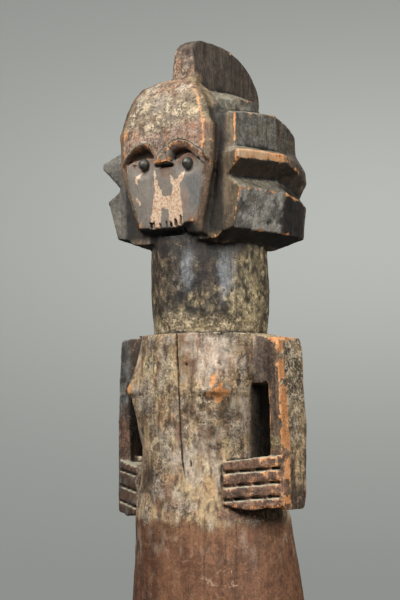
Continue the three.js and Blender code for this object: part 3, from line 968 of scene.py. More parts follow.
    def paint(self, surface: Surface) -> None:
        """Paints every layer onto the mesh.

        Args:
            surface: The finished skin.
        """
        work = Paintwork(surface, (self.crack, self.second_gash))
        work.paint_trunk()
        work.paint_neck()
        work.paint_lower_body()
        work.paint_arms()
        work.paint_hands()
        work.paint_coiffure()
        work.paint_crest()
        work.paint_forehead()
        work.paint_face()
        work.rub_soil_and_shade()
        work.keep()


@dataclass(frozen=True)
class Daub:
    """A soft patch of colour: its coat, its middle and its reach in millimetres, and how tall it is."""

    coat: Coat
    place: tuple[float, float, float]
    reach: float
    tall: float = 1.0
    strength: float = 0.9


SOOTY = (Coat.UMBER, Coat.DARK_UMBER, Coat.BLACK)
TRUNK_DAUBS = (
    Daub(Coat.YELLOW_CRUST, (-12.0, -70.0, 460.0), 22.0, 1.6),
    Daub(Coat.UMBER, (21.0, -69.0, 468.0), 7.0, 4.5, 0.55),
    Daub(Coat.PINK_GREY, (42.0, -58.0, 478.0), 21.0, 1.5),
    Daub(Coat.PINK_GREY, (54.0, -48.0, 470.0), 14.0, 1.8),
    Daub(Coat.CHALK, (-31.0, -65.0, 441.0), 9.0, 1.3),
    Daub(Coat.CHALK, (-26.0, -68.0, 488.0), 6.0, 2.0),
    Daub(Coat.CHALK, (16.0, -70.0, 378.0), 22.0, 1.3),
    Daub(Coat.CHALK, (42.0, -58.0, 388.0), 14.0, 1.6),
    Daub(Coat.PALE_LIME, (50.0, -52.0, 362.0), 12.0, 0.8, 0.6),
    # Umber just under the near breast: partly painted shadow beneath it
    Daub(Coat.UMBER, (58.0, -45.0, 418.0), 13.0, 1.3, 0.6),
    Daub(Coat.UMBER, (38.0, -60.0, 416.0), 12.0, 0.9, 0.5),
    # Dark umber where the trunk meets the near arm and down the slot's edge: partly patina, partly painted
    # shade of that valley and of the slot
    Daub(Coat.DARK_UMBER, (71.0, -8.0, 474.0), 13.0, 1.8, 0.9),
    Daub(Coat.DARK_UMBER, (68.0, -26.0, 418.0), 6.5, 4.0, 0.8),
    Daub(Coat.UMBER, (71.0, -20.0, 455.0), 6.0, 1.5, 0.8),
    Daub(Coat.YELLOW_CRUST, (-20.0, -69.0, 425.0), 12.0, 1.0, 0.7),
    Daub(Coat.CHALK, (-6.0, -72.0, 474.0), 9.0, 1.0, 0.7),
    Daub(Coat.UMBER, (-30.0, -66.0, 356.0), 15.0, 1.3, 0.7),
    Daub(Coat.UMBER, (-44.0, -56.0, 398.0), 9.0, 2.5, 0.6),
    Daub(Coat.UMBER, (-38.0, -60.0, 480.0), 8.0, 1.6, 0.5),
    Daub(Coat.PURPLE_BROWN, (10.0, -72.0, 330.0), 30.0, 0.45, 0.5),
    Daub(Coat.UMBER, (0.0, 72.0, 430.0), 45.0, 1.6, 0.6),
    Daub(Coat.WARM_TAN, (-14.0, -71.0, 484.0), 10.0, 1.4, 0.6),
    Daub(Coat.WARM_TAN, (14.0, -71.0, 358.0), 10.0, 1.2, 0.6),
    Daub(Coat.WARM_TAN, (48.0, -55.0, 345.0), 9.0, 1.4, 0.6),
    Daub(Coat.WARM_TAN, (50.0, -53.0, 438.0), 12.0, 0.8, 0.6),
    Daub(Coat.CHALK, (-34.0, -64.0, 430.0), 9.0, 1.8, 0.8),
    Daub(Coat.CHALK, (60.0, -42.0, 410.0), 7.0, 2.4, 0.7),
    Daub(Coat.CHALK, (58.0, -46.0, 492.0), 12.0, 0.8, 0.7),
    Daub(Coat.YELLOW_CRUST, (-22.0, -69.0, 470.0), 15.0, 1.3, 0.9),
    Daub(Coat.CHALK, (-19.0, -71.0, 488.0), 4.0, 2.8, 0.85),
    Daub(Coat.CHALK, (-29.0, -67.0, 426.0), 8.0, 1.4, 0.85),
    Daub(Coat.YELLOW_CRUST, (1.0, -73.0, 461.0), 11.0, 0.5, 0.8),
    Daub(Coat.DARK_UMBER, (5.0, -73.0, 443.0), 4.5, 1.3, 0.8),
    Daub(Coat.UMBER, (-7.0, -73.0, 425.0), 5.0, 1.8, 0.8),
    Daub(Coat.UMBER, (4.0, -73.0, 407.0), 8.0, 1.2, 0.75),
    Daub(Coat.UMBER, (22.0, -70.0, 481.0), 5.0, 2.0, 0.7),
    Daub(Coat.UMBER, (29.0, -67.0, 462.0), 8.0, 1.2, 0.6),
    Daub(Coat.UMBER, (27.0, -68.0, 420.0), 9.0, 1.2, 0.6),
    Daub(Coat.YELLOW_CRUST, (8.0, -73.0, 386.0), 10.0, 0.9, 0.8),
    Daub(Coat.YELLOW_CRUST, (28.0, -67.0, 389.0), 8.0, 1.0, 0.8),
    Daub(Coat.PALE_LIME, (38.0, -63.0, 382.0), 11.0, 0.9, 0.8),
    Daub(Coat.YELLOW_CRUST, (37.0, -63.0, 363.0), 12.0, 1.1, 0.5),
    Daub(Coat.YELLOW_CRUST, (31.0, -66.0, 336.0), 11.0, 1.0, 0.45),
    Daub(Coat.YELLOW_CRUST, (58.0, -44.0, 384.0), 10.0, 0.9, 0.7),
    Daub(Coat.YELLOW_CRUST, (15.0, -71.0, 338.0), 8.0, 1.0, 0.5),
    Daub(Coat.DARK_UMBER, (-16.0, -71.0, 345.0), 13.0, 1.4, 0.8),
    Daub(Coat.DARK_UMBER, (-5.0, -73.0, 329.0), 9.0, 1.0, 0.8),
    Daub(Coat.UMBER, (-34.0, -64.0, 345.0), 10.0, 2.0, 0.7),
    Daub(Coat.DARK_UMBER, (-1.0, -73.0, 356.0), 5.0, 1.0, 0.7),
    Daub(Coat.CHALK, (-25.0, -68.0, 318.0), 7.0, 0.9, 0.8),
    # Dark umber under the near breast: partly painted shadow beneath it
    Daub(Coat.DARK_UMBER, (46.0, -56.0, 419.0), 5.5, 1.2, 0.8),
    Daub(Coat.UMBER, (46.0, -57.0, 397.0), 8.0, 1.1, 0.7),
    Daub(Coat.PALE_LIME, (62.0, -39.0, 424.0), 6.5, 1.4, 0.7),
    Daub(Coat.PALE_LIME, (64.0, -35.0, 400.0), 6.0, 1.6, 0.7),
    Daub(Coat.PALE_LIME, (58.0, -45.0, 482.0), 7.0, 1.2, 0.7),
    # Dark umber in the valley between the trunk and the near arm: partly painted shade
    Daub(Coat.UMBER, (66.0, -32.0, 458.0), 4.5, 2.2, 0.8),
    Daub(Coat.UMBER, (70.0, -20.0, 480.0), 6.0, 1.2, 0.8),
    Daub(Coat.DARK_UMBER, (68.0, -27.0, 466.0), 8.0, 1.8, 0.85),
    Daub(Coat.DARK_UMBER, (65.0, -33.0, 446.0), 5.0, 1.4, 0.8),
    Daub(Coat.DARK_UMBER, (90.0, -24.0, 466.0), 15.0, 1.5, 0.95),
    Daub(Coat.DARK_UMBER, (80.0, -24.0, 472.0), 9.0, 1.4, 0.9),
)
NECK_DAUBS = (
    Daub(Coat.NECK_TAN, (60.0, -14.0, 545.0), 30.0, 1.6, 0.95),
    # Painted highlights: blue-grey streaks down the neck's front where smooth facets would reflect the lamps
    Daub(Coat.BLUE_GREY, (18.0, -59.0, 560.0), 9.0, 2.8, 0.8),
    Daub(Coat.BLUE_GREY, (43.0, -45.0, 573.0), 8.0, 1.6, 0.8),
    Daub(Coat.PALE_LIME, (50.6, -35.8, 548.0), 5.0, 2.0, 0.8),
    Daub(Coat.BLACK, (-3.0, -64.0, 566.0), 9.0, 1.2, 0.8),
    Daub(Coat.BLACK, (-11.0, -63.0, 535.0), 8.0, 1.2, 0.8),
    Daub(Coat.BLACK, (11.0, -63.0, 532.0), 7.0, 1.2, 0.8),
    Daub(Coat.UMBER, (30.0, -57.0, 536.0), 9.0, 1.0, 0.8),
    Daub(Coat.DARK_UMBER, (38.0, -52.0, 560.0), 12.0, 1.4, 0.8),
    Daub(Coat.NECK_PALE, (64.0, 2.0, 557.0), 9.0, 1.3, 0.8),
    Daub(Coat.NECK_PALE, (62.0, -16.0, 549.0), 7.0, 0.8, 0.8),
    Daub(Coat.NECK_PALE, (64.0, -7.0, 518.0), 10.0, 0.9, 0.8),
    Daub(Coat.BLACK, (60.0, -23.0, 531.0), 6.0, 1.2, 0.8),
    Daub(Coat.DARK_UMBER, (45.0, -45.0, 518.0), 8.0, 1.0, 0.7),
    Daub(Coat.PALE_LIME, (5.0, -62.0, 512.0), 22.0, 0.3, 0.8),
    Daub(Coat.PALE_LIME, (55.0, -28.0, 503.0), 22.0, 0.22, 0.8),
)
FOREHEAD_DAUBS = (
    Daub(Coat.PALE_LIME, (-30.0, -58.0, 754.0), 9.0, 0.9, 0.7),
    Daub(Coat.PALE_LIME, (-37.0, -66.0, 742.0), 7.0, 1.2, 0.7),
    Daub(Coat.CHALK, (14.0, -62.0, 750.0), 9.0, 0.8, 0.7),
    Daub(Coat.CHALK, (-10.0, -69.0, 737.0), 14.0, 0.9, 0.8),
    Daub(Coat.PINK_GREY, (12.0, -74.0, 722.0), 12.0, 0.9, 0.7),
    Daub(Coat.YELLOW_CRUST, (32.0, -72.0, 725.0), 8.0, 1.2, 0.7),
    Daub(Coat.UMBER, (-14.0, -75.0, 719.0), 5.5, 0.9, 0.7),
    Daub(Coat.UMBER, (-46.0, -70.0, 733.0), 5.0, 1.2, 0.7),
    Daub(Coat.UMBER, (5.0, -65.0, 745.0), 4.5, 0.9, 0.7),
    Daub(Coat.BARE, (-31.0, -76.0, 714.0), 6.0, 1.1, 0.7),
    Daub(Coat.BARE, (41.0, -78.0, 704.0), 5.0, 0.9, 0.7),
)
FACE_DAUBS = (
    Daub(Coat.EYE_BROWN, (-30.0, -72.0, 682.0), 17.0, 0.9, 0.95),
    Daub(Coat.EYE_BROWN, (28.0, -72.0, 680.0), 17.0, 0.9, 0.95),
    Daub(Coat.EYE_BROWN, (0.0, -72.0, 664.0), 9.0, 0.8, 0.6),
    Daub(Coat.FACE_BLUE, (38.0, -72.0, 640.0), 13.0, 1.6, 0.9),
    Daub(Coat.PURPLE_BROWN, (24.0, -72.0, 632.0), 8.0, 1.6, 0.7),
    Daub(Coat.EYE_BROWN, (36.0, -70.0, 611.0), 8.0, 0.7, 0.8),
)
FLANK_DAUBS = (
    # Paler slate on the near flank: painted light
    Daub(Coat.SLATE_PALE, (88.0, -30.0, 625.0), 22.0, 0.7, 0.7),
    Daub(Coat.FLANK_PALE, (46.0, -20.0, 732.0), 22.0, 0.6, 0.9),
    # Black on the near back facet of the lowest tier: partly painted shade
    Daub(Coat.BLACK, (84.0, 22.0, 622.0), 14.0, 2.0, 0.8),
    Daub(Coat.FLANK_PALE, (-90.0, -40.0, 620.0), 26.0, 0.9, 0.5),
)
ARM_DAUBS = (
    Daub(Coat.OLIVE, (111.0, 2.0, 465.0), 24.0, 1.2, 0.8),
    Daub(Coat.PALE_LIME, (113.0, 4.0, 416.0), 15.0, 1.6, 0.8),
    Daub(Coat.PALE_LIME, (112.0, 0.0, 480.0), 12.0, 0.7, 0.7),
    Daub(Coat.NECK_TAN, (113.0, 6.0, 392.0), 14.0, 1.6, 0.8),
    Daub(Coat.DARK_UMBER, (113.0, 8.0, 338.0), 18.0, 1.0, 0.8),
    # Dark umber at the near arm's root: partly painted shade of the valley beside the trunk
    Daub(Coat.DARK_UMBER, (92.0, -25.0, 468.0), 10.0, 2.4, 0.9),
    Daub(Coat.NECK_TAN, (102.0, -23.0, 382.0), 12.0, 1.0, 0.7),
    Daub(Coat.BLUE_GREY, (-98.0, -27.0, 470.0), 24.0, 1.6, 0.7),
)


class Paintwork:
    """Lays the coats, the dirt and the wear on the figure's skin."""

    plate_back_z = (720, 746, 765)
    plate_back_y = (-57, -46, -34)
    arm_z = (320, 334, 399, 450, 482, 492)
    arm_front_y = (-19, -19.5, -23, -24.5, -25.5, -25)
    arm_cut_x = (112.3, 112.3, 111, 110, 108.5, 106)
    arm_cut_y = (-10, -11, -13, -16, -18, -17)
    cream_strokes = (
        ((-33.6, 664.0, 1.4), (-38.6, 659.5, 2.4), (-38.8, 651.0, 1.5)),
        ((-40.0, 636.5, 2.0), (-35.0, 632.5, 1.2)),
        ((-15.5, 667.0, 0.9), (-13.0, 657.0, 1.6), (-12.8, 650.0, 2.8), (-9.5, 643.0, 4.2),
         (-10.5, 636.0, 6.6), (-13.0, 624.0, 6.2), (-14.8, 614.0, 7.0), (-15.0, 605.0, 7.0)),
        ((25.3, 661.0, 1.2), (22.3, 655.5, 2.6), (15.5, 649.0, 3.4), (14.6, 642.3, 5.4), (13.0, 634.0, 7.0)),
        ((7.4, 660.0, 1.2), (8.2, 655.0, 1.6), (11.5, 650.5, 2.6)),
        ((-8.0, 631.0, 6.0), (14.0, 631.0, 7.4)),
        ((12.6, 630.0, 9.0), (12.6, 620.0, 9.6), (12.6, 611.0, 9.4), (12.6, 603.0, 9.0)))
    smooth_spots = (
        ((40.0, -60.0, 478.0), 24.0, 1.5), ((56.0, -46.0, 470.0), 12.0, 1.8),
        ((42.0, -58.0, 352.0), 16.0, 1.6), ((20.0, -70.0, 455.0), 9.0, 2.0))
    neck_highlight_facets = ((17.5, 5.5, 545.0), (56.0, 8.5, 535.0))
    red_streaks = (
        (2.0, -80.0, 306.0, 280.0), (18.0, -78.0, 303.0, 284.0), (40.0, -70.0, 305.0, 262.0),
        (51.0, -63.0, 303.0, 275.0), (28.0, -77.0, 292.0, 248.0), (75.0, -30.0, 296.0, 262.0))
    bare_breasts = (
        ((60.0, -60.0, 437.0), 8.5, 0.85), ((54.5, -61.0, 448.0), 4.2, 2.0),
        ((57.0, -55.0, 430.0), 6.0, 0.7), ((64.0, -52.0, 436.0), 5.5, 0.9),
        ((50.0, -64.0, 434.0), 4.5, 0.8), ((60.0, -57.0, 443.0), 5.5, 0.8),
        ((-62.0, -62.0, 441.0), 8.0, 1.0))
    worn_lines = (
        (((79.4, -59.5, 603.0, 0.8), (90.9, -62.0, 640.0, 1.0)), 0.7),
        (((77.0, -54.0, 686.0, 0.5), (77.0, -53.8, 702.0, 1.0), (77.0, -53.5, 718.0, 2.0)), 0.8),
        (((90.0, 15.0, 641.0, 1.2), (84.0, 44.0, 638.0, 1.0)), 0.7),
        (((-79.4, -59.5, 603.0, 0.8), (-85.0, -61.0, 622.0, 0.8)), 0.6),
        (((76.0, -18.0, 449.0, 0.4), (84.0, -24.0, 449.5, 0.6)), 0.6),
        (((-91.5, -25.5, 374.0, 1.1), (-92.5, -26.5, 447.0, 0.9)), 0.85),
        (((-112.0, -20.0, 330.0, 0.4), (-110.0, -26.0, 488.0, 0.7)), 0.45))
    dark_lines = (
        ((86.8, -56.0, 628.0, 0.3), (84.8, -41.0, 617.0, 0.45), (83.0, -20.0, 608.5, 0.3)),
        ((83.0, -17.0, 606.0, 0.3), (86.0, 5.0, 618.0, 0.5), (88.0, 15.0, 627.0, 0.3)),
        ((81.5, -40.0, 706.0, 0.2), (81.5, -20.0, 700.0, 0.3), (81.5, 0.0, 701.0, 0.2)))

    def __init__(self, surface: Surface, cracks: tuple[Gash, ...]) -> None:
        """Starts with bare arrays and measures the parts of the figure.

        Args:
            surface: The finished skin.
            cracks: The cracks that were carved into it.
        """
        self.surface = surface
        self.cracks = cracks
        self.x, self.y, self.z = surface.points.T
        self.nx, self.ny, self.nz = surface.normals.T
        count = len(self.x)
        self.ground = np.tile(np.array(linear(Coat.TAN_CRUST.value)[:3]), (count, 1))
        self.layers = {layer: np.zeros(count) for layer in Layer}
        self.relief = surface.relief(8)
        self.wide_relief = surface.relief(45)
        self.speckle = Speckle(23)
        self.drift = self.speckle.at(surface.points, (20.0, 20.0, 38.0))
        self.fleck = self.speckle.at(surface.points + 300.0, 9.0)
        self.rough = 0.55 * self.speckle.at(surface.points + 70.0, (6.0, 6.0, 9.0))
        self.rough += 0.45 * self.speckle.at(surface.points + 150.0, 2.7)
        x, y, z = self.x, self.y, self.z
        self.head = ramp(z, HEAD_Z, HEAD_Z + 6.0)
        self.carving = Face()
        self.across = np.abs(x) - (x < 0.0) * self.carving.swell(z) * ramp(z, 688.0, 692.0)
        inside = ramp(self.across - self.carving.half_width(z), 1.5, -0.5)
        front = ramp(y - np.interp(z, self.plate_back_z, self.plate_back_y), 3.0, -2.0)
        self.plate = self.head * front * inside * ramp(z, 770.0, 764.0)
        self.plate *= 1.0 - ramp(np.hypot(x, y), 67.5, 66.0) * ramp(z, 604.0, 601.0)
        self.below_rim = self.carving.below_rim(x, z)
        self.brow = ramp(self.below_rim, 1.0, -1.0)
        self.crest = ramp(np.abs(x), 18.5, 17.5) * ramp(z, 750.0, 755.0) * (1.0 - self.plate)
        self.neck = ramp(z, 496.0, 499.0) * (1.0 - self.head) * ramp(np.hypot(x, y), 67.0, 65.0)
        self.coiffure = self.head * (1.0 - self.plate) * (1.0 - self.crest)
        colour_edge = COLOUR_EDGE_Z + 14.0 * (self.speckle.at(surface.points, (12.0, 12.0, 40.0)) - 0.5)
        self.lower = ramp(z, colour_edge + 2.0, colour_edge - 4.0)
        self.arm = ramp(np.abs(x), 90.0, 94.0) * ramp(z, 314.0, 318.0) * ramp(z, 501.0, 498.0)
        hand = ramp(y, -14.0, -18.0) * ramp(z, 308.0, 311.0) * ramp(z, 382.0, 378.0)
        self.hand = hand * ramp(np.hypot(x, y), 75.5, 78.0) * ramp(np.abs(x), 52.0, 56.0)

    def lay(self, coat: Coat, share: np.ndarray) -> None:
        """Covers the ground with a coat where its share is high."""
        share = np.clip(share, 0.0, 1.0)[:, None]
        self.ground = self.ground * (1.0 - share) + np.array(linear(coat.value)[:3]) * share

    def lay_daubs(self, daubs: tuple[Daub, ...], where: np.ndarray) -> None:
        """Lays soft patches, which also thin the pale crust where they are sooty.

        Args:
            daubs: The patches, the lowest first.
            where: The region that they stay in.
        """
        for daub in daubs:
            near = self.near(daub.place, daub.reach, daub.tall)
            share = ramp(near + 0.7 * (self.rough - 0.5), 0.22, 0.62) * daub.strength * where
            self.lay(daub.coat, share)
            if daub.coat in SOOTY:
                self.layers[Layer.CRUST] *= 1.0 - 0.8 * share

    def blotch(self, coat: Coat, where: np.ndarray, size: tuple[float, float, float],
               low: float, high: float, strength: float) -> None:
        """Lays ragged patches of a coat inside a region.

        Args:
            coat: The coat to lay.
            where: The region.
            size: The size of the patches along each axis in millimetres.
            low: The random value at which a patch begins.
            high: The random value at which it covers fully.
            strength: How much of the ground it covers there.
        """
        points = self.surface.points + 17.0 * len(coat.name) + 5.0 * size[0]
        pattern = 0.72 * self.speckle.at(points, size)
        pattern += 0.28 * self.speckle.at(points + 90.0, tuple(0.4 * side for side in size))
        self.lay(coat, ramp(pattern, low, high) * strength * where)

    def near(self, place: tuple[float, float, float], reach: float, tall: float = 1.0) -> np.ndarray:
        """How near each vertex lies to a place: 1 there, falling to 0 over its reach."""
        offset = (self.surface.points - place) / (reach, reach, reach * tall)
        return np.exp(-(offset ** 2).sum(1))

    def set(self, where: np.ndarray, **amounts: float) -> None:
        """Sets layers inside a region.

        Args:
            where: The region.
            amounts: The new value of each layer, by the layer's name.
        """
        for name, amount in amounts.items():
            layer = Layer(name)
            self.layers[layer] = self.layers[layer] * (1.0 - where) + amount * where

    def add(self, layer: Layer, amount: np.ndarray) -> None:
        """Raises a layer to an amount where it is lower."""
        self.layers[layer] = np.maximum(self.layers[layer], amount)

    def paint_trunk(self) -> None:
        """Tan crust, smoother and pinker on the figure's left breast, darker towards arms and back; the dark
        where it meets the near arm and beside the slot is partly painted shade, as is the dark under the near
        breast.
        """
        trunk = np.ones(len(self.x))
        self.set(trunk, mottle=0.8, grain=0.25, crust=0.3, pits=0.3, sheen=0.2)
        self.add(Layer.CRUST, 0.12 + 0.5 * self.drift)
        self.add(Layer.PITS, 0.2 + 0.3 * self.fleck)
        self.lay_daubs(TRUNK_DAUBS, trunk)
        self.blotch(Coat.UMBER, trunk, (5.0, 5.0, 22.0), 0.58, 0.7, 0.6)
        self.blotch(Coat.BARE, trunk, (4.0, 4.0, 15.0), 0.58, 0.66, 0.6)
        self.blotch(Coat.CHALK, trunk, (7.0, 7.0, 13.0), 0.54, 0.62, 0.65)
        self.blotch(Coat.DARK_UMBER, trunk, (3.5, 3.5, 6.0), 0.66, 0.74, 0.8)
        calm = ramp(self.speckle.at(self.surface.points + 500.0, (26.0, 26.0, 34.0)), 0.45, 0.7)
        self.layers[Layer.MOTTLE] *= 1.15 - 0.6 * calm
        self.layers[Layer.CRUST] *= 1.1 - 0.7 * calm
        for place, reach, tall in self.smooth_spots:
            smooth = ramp(self.near(place, reach, tall), 0.2, 0.6) * 0.85
            self.set(smooth, mottle=0.4, crust=0.12, pits=0.18, sheen=0.65)
        # Dark pits under the near breast: partly painted shadow beneath it
        self.add(Layer.PITS, 0.5 * self.near((58.0, -45.0, 415.0), 18.0, 1.3))
        self.add(Layer.PITS, 0.55 * self.near((-25.0, -68.0, 350.0), 16.0, 1.2))
        turn = np.degrees(np.arctan2(self.x, -self.y)) + 8.0 * (self.rough - 0.5)
        start = -45.0 - np.clip(0.5 * (SHOULDER_Z - self.z), 0.0, 7.0)
        far_joint = ramp(turn, start, start - 5.0) * ramp(self.z, 440.0, 448.0) * ramp(-self.y, 0.0, 10.0)
        self.lay(Coat.DARK_UMBER, far_joint * 0.95)
        self.set(far_joint, crust=0.05, mottle=0.5, pits=0.2)
        # Near joint: dark umber where the trunk meets the near arm, partly painted shade of that valley
        near_joint = ramp(self.x + 10.0 * (self.rough - 0.5), 68.0, 76.0) * ramp(self.z, 440.0, 448.0)
        near_joint *= ramp(-self.y, 0.0, 10.0) * (1.0 - self.head) * ramp(self.nz, 0.6, 0.4)
        self.lay(Coat.DARK_UMBER, near_joint * 0.85)
        self.set(near_joint, crust=0.08, mottle=0.7, pits=0.3, sheen=0.2)

    def paint_neck(self) -> None:
        """Dark olive with tan blotches, painted blue-grey and blue-white highlights down its front, a painted
        black shadow under the head, and pale with dust at its foot.
        """
        self.lay(Coat.OLIVE, self.neck)
        self.set(self.neck, mottle=1.0, grain=0.3, crust=0.2, pits=0.42, sheen=0.45)
        self.lay_daubs(NECK_DAUBS, self.neck)
        self.blotch(Coat.BLACK, self.neck, (9.0, 9.0, 15.0), 0.5, 0.62, 0.8)
        turn = np.degrees(np.arctan2(self.x, -self.y))
        dry = np.clip(ramp(turn, 60.0, 76.0) + ramp(turn, 2.0, -14.0) + ramp(self.z, 552.0, 530.0), 0.0, 1.0)
        self.blotch(Coat.NECK_TAN, self.neck * (0.25 + 0.6 * dry), (5.0, 5.0, 6.0), 0.56, 0.6, 0.95)
        self.blotch(Coat.NECK_PALE, self.neck * dry, (3.5, 3.5, 4.5), 0.6, 0.65, 0.95)
        self.blotch(Coat.BLACK, self.neck * ramp(turn, 62.0, 50.0), (6.0, 6.0, 7.0), 0.52, 0.58, 0.75)
        self.blotch(Coat.DARK_UMBER, self.neck * ramp(turn, 10.0, -2.0), (9.0, 9.0, 12.0), 0.4, 0.5, 0.65)
        near_side = self.neck * ramp(turn, 58.0, 70.0) * ramp(turn, 110.0, 85.0)
        self.blotch(Coat.NECK_PALE, near_side, (6.0, 6.0, 8.0), 0.48, 0.54, 0.8)
        # Painted highlights: blue-white reflections down two smooth facets, which are also made glossy
        for side, half, low in self.neck_highlight_facets:
            facet_highlight = self.neck * ramp(np.abs(turn - side) + 5.0 * (self.fleck - 0.5), half + 1.5, half - 2.5)
            facet_highlight *= ramp(self.z + 20.0 * (self.fleck - 0.5), low - 10.0, low + 12.0)
            self.lay(Coat.BLUE_WHITE, facet_highlight * ramp(self.z, 592.0, 580.0) * 0.56)
            self.set(facet_highlight, mottle=0.6, crust=0.1, pits=0.25, sheen=0.8)
        # Painted shadow: the top of the neck's front goes black under the head
        neck_top_shadow = self.neck * ramp(self.z, 570.0, 588.0) * ramp(self.y, 10.0, -20.0)
        self.lay(Coat.BLACK, neck_top_shadow * 0.85)
        self.set(neck_top_shadow, crust=0.03, mottle=0.5)
        foot = self.neck * ramp(self.z + 8.0 * (self.drift - 0.5), 520.0, 506.0)
        self.lay(Coat.NECK_TAN, foot * 0.8)
        self.set(foot, crust=0.45, pits=0.15)
        shoulders = ramp(self.nz, 0.6, 0.9) * ramp(self.z, 485.0, 490.0) * (1.0 - self.head)
        self.lay(Coat.NECK_TAN, shoulders * 0.8)
        self.add(Layer.DUST, 0.5 * shoulders * ramp(np.hypot(self.x, self.y), 70.0, 62.0))

    def paint_lower_body(self) -> None:
        """Bare reddish-brown wood with fine upright grain, and the darker base; its far side and its
        right-hand edge as the camera sees it are darkened with painted shade.
        """
        self.lay(Coat.BARE, self.lower)
        fade = ramp(self.z, 262.0, COLOUR_EDGE_Z)
        self.lay(Coat.BARE_PALE, self.lower * fade * 0.7)
        # Painted shade: darker towards the right-hand edge as the camera sees it
        side = ramp(self.x * 0.766 + self.y * 0.643, 20.0, 70.0)
        self.lay(Coat.BARE_DARK, self.lower * side * 0.12)
        # Painted shade: darker on the far side
        self.lay(Coat.BARE_DARK, self.lower * ramp(self.x, 6.0, -30.0) * 0.85)
        self.lay(Coat.BARE_DARK, ramp(self.z, 120.0, 30.0) * 0.7)
        self.set(self.lower, mottle=0.42, grain=0.27, crust=0.0, pits=0.2, sheen=0.45)
        self.blotch(Coat.BARE_DARK, self.lower, (10.0, 10.0, 34.0), 0.5, 0.75, 0.6)
        self.blotch(Coat.BARE_PALE, self.lower, (12.0, 12.0, 18.0), 0.52, 0.75, 0.35)
        self.blotch(Coat.DARK_UMBER, self.lower, (2.2, 2.2, 40.0), 0.8, 0.88, 0.5)
        # More dark umber on the far side, partly painted shade
        far_side = self.lower * ramp(self.x, 10.0, -30.0)
        self.blotch(Coat.DARK_UMBER, far_side, (6.0, 6.0, 20.0), 0.5, 0.6, 0.6)
        top = self.lower * ramp(self.z, 250.0, 290.0)
        self.blotch(Coat.PINK_GREY, top, (7.0, 7.0, 12.0), 0.58, 0.68, 0.4)
        for x, y, high, low in self.red_streaks:
            streak = stroke(self.surface.points, ((x, y, high, 1.0), (x + 2.0, y - 3.0, low, 0.6)), 3.4)
            self.lay(Coat.RED_STREAK, self.lower * streak)
        self.add(Layer.CRUST, 0.28 * self.lower * self.near((66.0, -46.0, 258.0), 20.0, 0.8))
        self.add(Layer.SCRAPES, self.lower * (0.25 + 0.75 * self.near((66.0, -46.0, 256.0), 34.0, 0.9)))
        self.add(Layer.SCRAPES, 0.35 * (1.0 - self.lower) * (1.0 - self.head))
        self.add(Layer.DUST, 0.35 * ramp(self.nz, 0.7, 0.95) * ramp(self.z, 62.0, 50.0))

    def paint_arms(self) -> None:
        """Dark arms with cream streaks on the near side and a bright worn band down the near edge."""
        self.lay(Coat.ARM_BROWN, self.arm)
        self.set(self.arm, mottle=0.9, grain=0.5, crust=0.22, pits=0.3, sheen=0.3)
        self.lay_daubs(ARM_DAUBS, self.arm)
        outer = self.arm * ramp(self.nx, 0.7, 0.9)
        self.blotch(Coat.TAN_CRUST, outer * ramp(self.z, 335.0, 350.0), (7.0, 7.0, 16.0), 0.36, 0.48, 0.9)
        self.blotch(Coat.DARK_UMBER, outer, (6.0, 6.0, 10.0), 0.62, 0.74, 0.8)
        self.add(Layer.CRUST, outer * 0.5 * ramp(self.z, 340.0, 400.0) * ramp(self.drift, 0.25, 0.6))
        far_front = self.arm * ramp(-self.x, 80.0, 90.0) * ramp(-self.ny, 0.6, 0.9)
        self.lay(Coat.BLACK, far_front * 0.6)
        self.blotch(Coat.BLUE_GREY, far_front * ramp(self.z, 400.0, 440.0), (8.0, 8.0, 12.0), 0.46, 0.6, 0.7)
        self.lay(Coat.HAND_BROWN, far_front * ramp(self.z, 425.0, 400.0) * 0.6)
        self.set(far_front, crust=0.12, mottle=0.8)
        front_y, cut_x, cut_y = (np.interp(self.z, self.arm_z, values)
                                 for values in (self.arm_front_y, self.arm_cut_x, self.arm_cut_y))
        wobble = 3.0 * (self.fleck - 0.5)
        band = ramp(self.x - cut_x + wobble, -1.2, 1.0) * ramp(self.y - cut_y + wobble, 2.0, -1.0)
        band *= self.arm * ramp(self.z, 314.0, 320.0) * ramp(self.y, front_y - 1.0, front_y)
        self.add(Layer.WORN, band * (0.5 + 0.45 * ramp(self.fleck, 0.3, 0.6)))
        self.blotch(Coat.UMBER, band, (3.0, 3.0, 9.0), 0.6, 0.7, 0.8)
        cap = self.arm * ramp(self.x, 95.0, 100.0) * ramp(self.z, 484.0, 489.0) * ramp(-self.ny, 0.2, 0.6)
        self.add(Layer.WORN, 0.9 * cap)

    def paint_hands(self) -> None:
        """Brown fingers, orange towards the tips, with pale dust, partly painted light, on the upward-facing
        lower lip of each groove.
        """
        self.lay(Coat.HAND_BROWN, self.hand)
        self.set(self.hand, mottle=0.75, grain=0.15, crust=0.08, pits=0.3, sheen=0.45)
        near_hand = self.hand * (self.x > 0.0)
        self.blotch(Coat.DARK_UMBER, near_hand, (9.0, 9.0, 4.0), 0.5, 0.7, 0.7)
        self.add(Layer.WORN, near_hand * (0.22 + 0.3 * ramp(self.fleck, 0.5, 0.8)))
        far_hand = self.hand * (self.x < 0.0)
        self.lay(Coat.DARK_UMBER, far_hand * 0.65)
        self.blotch(Coat.BLUE_GREY, far_hand, (8.0, 8.0, 6.0), 0.5, 0.7, 0.6)
        # Pale dust on faces that look up, partly painted light
        ledge = self.hand * ramp(self.nz, 0.35, 0.7)
        self.add(Layer.DUST, 0.68 * ledge)
        tips = self.hand * ramp(-self.nx * np.sign(self.x), 0.5, 0.8)
        self.lay(Coat.TAN_CRUST, tips * 0.8)
        self.set(tips, crust=0.4, worn=0.15)

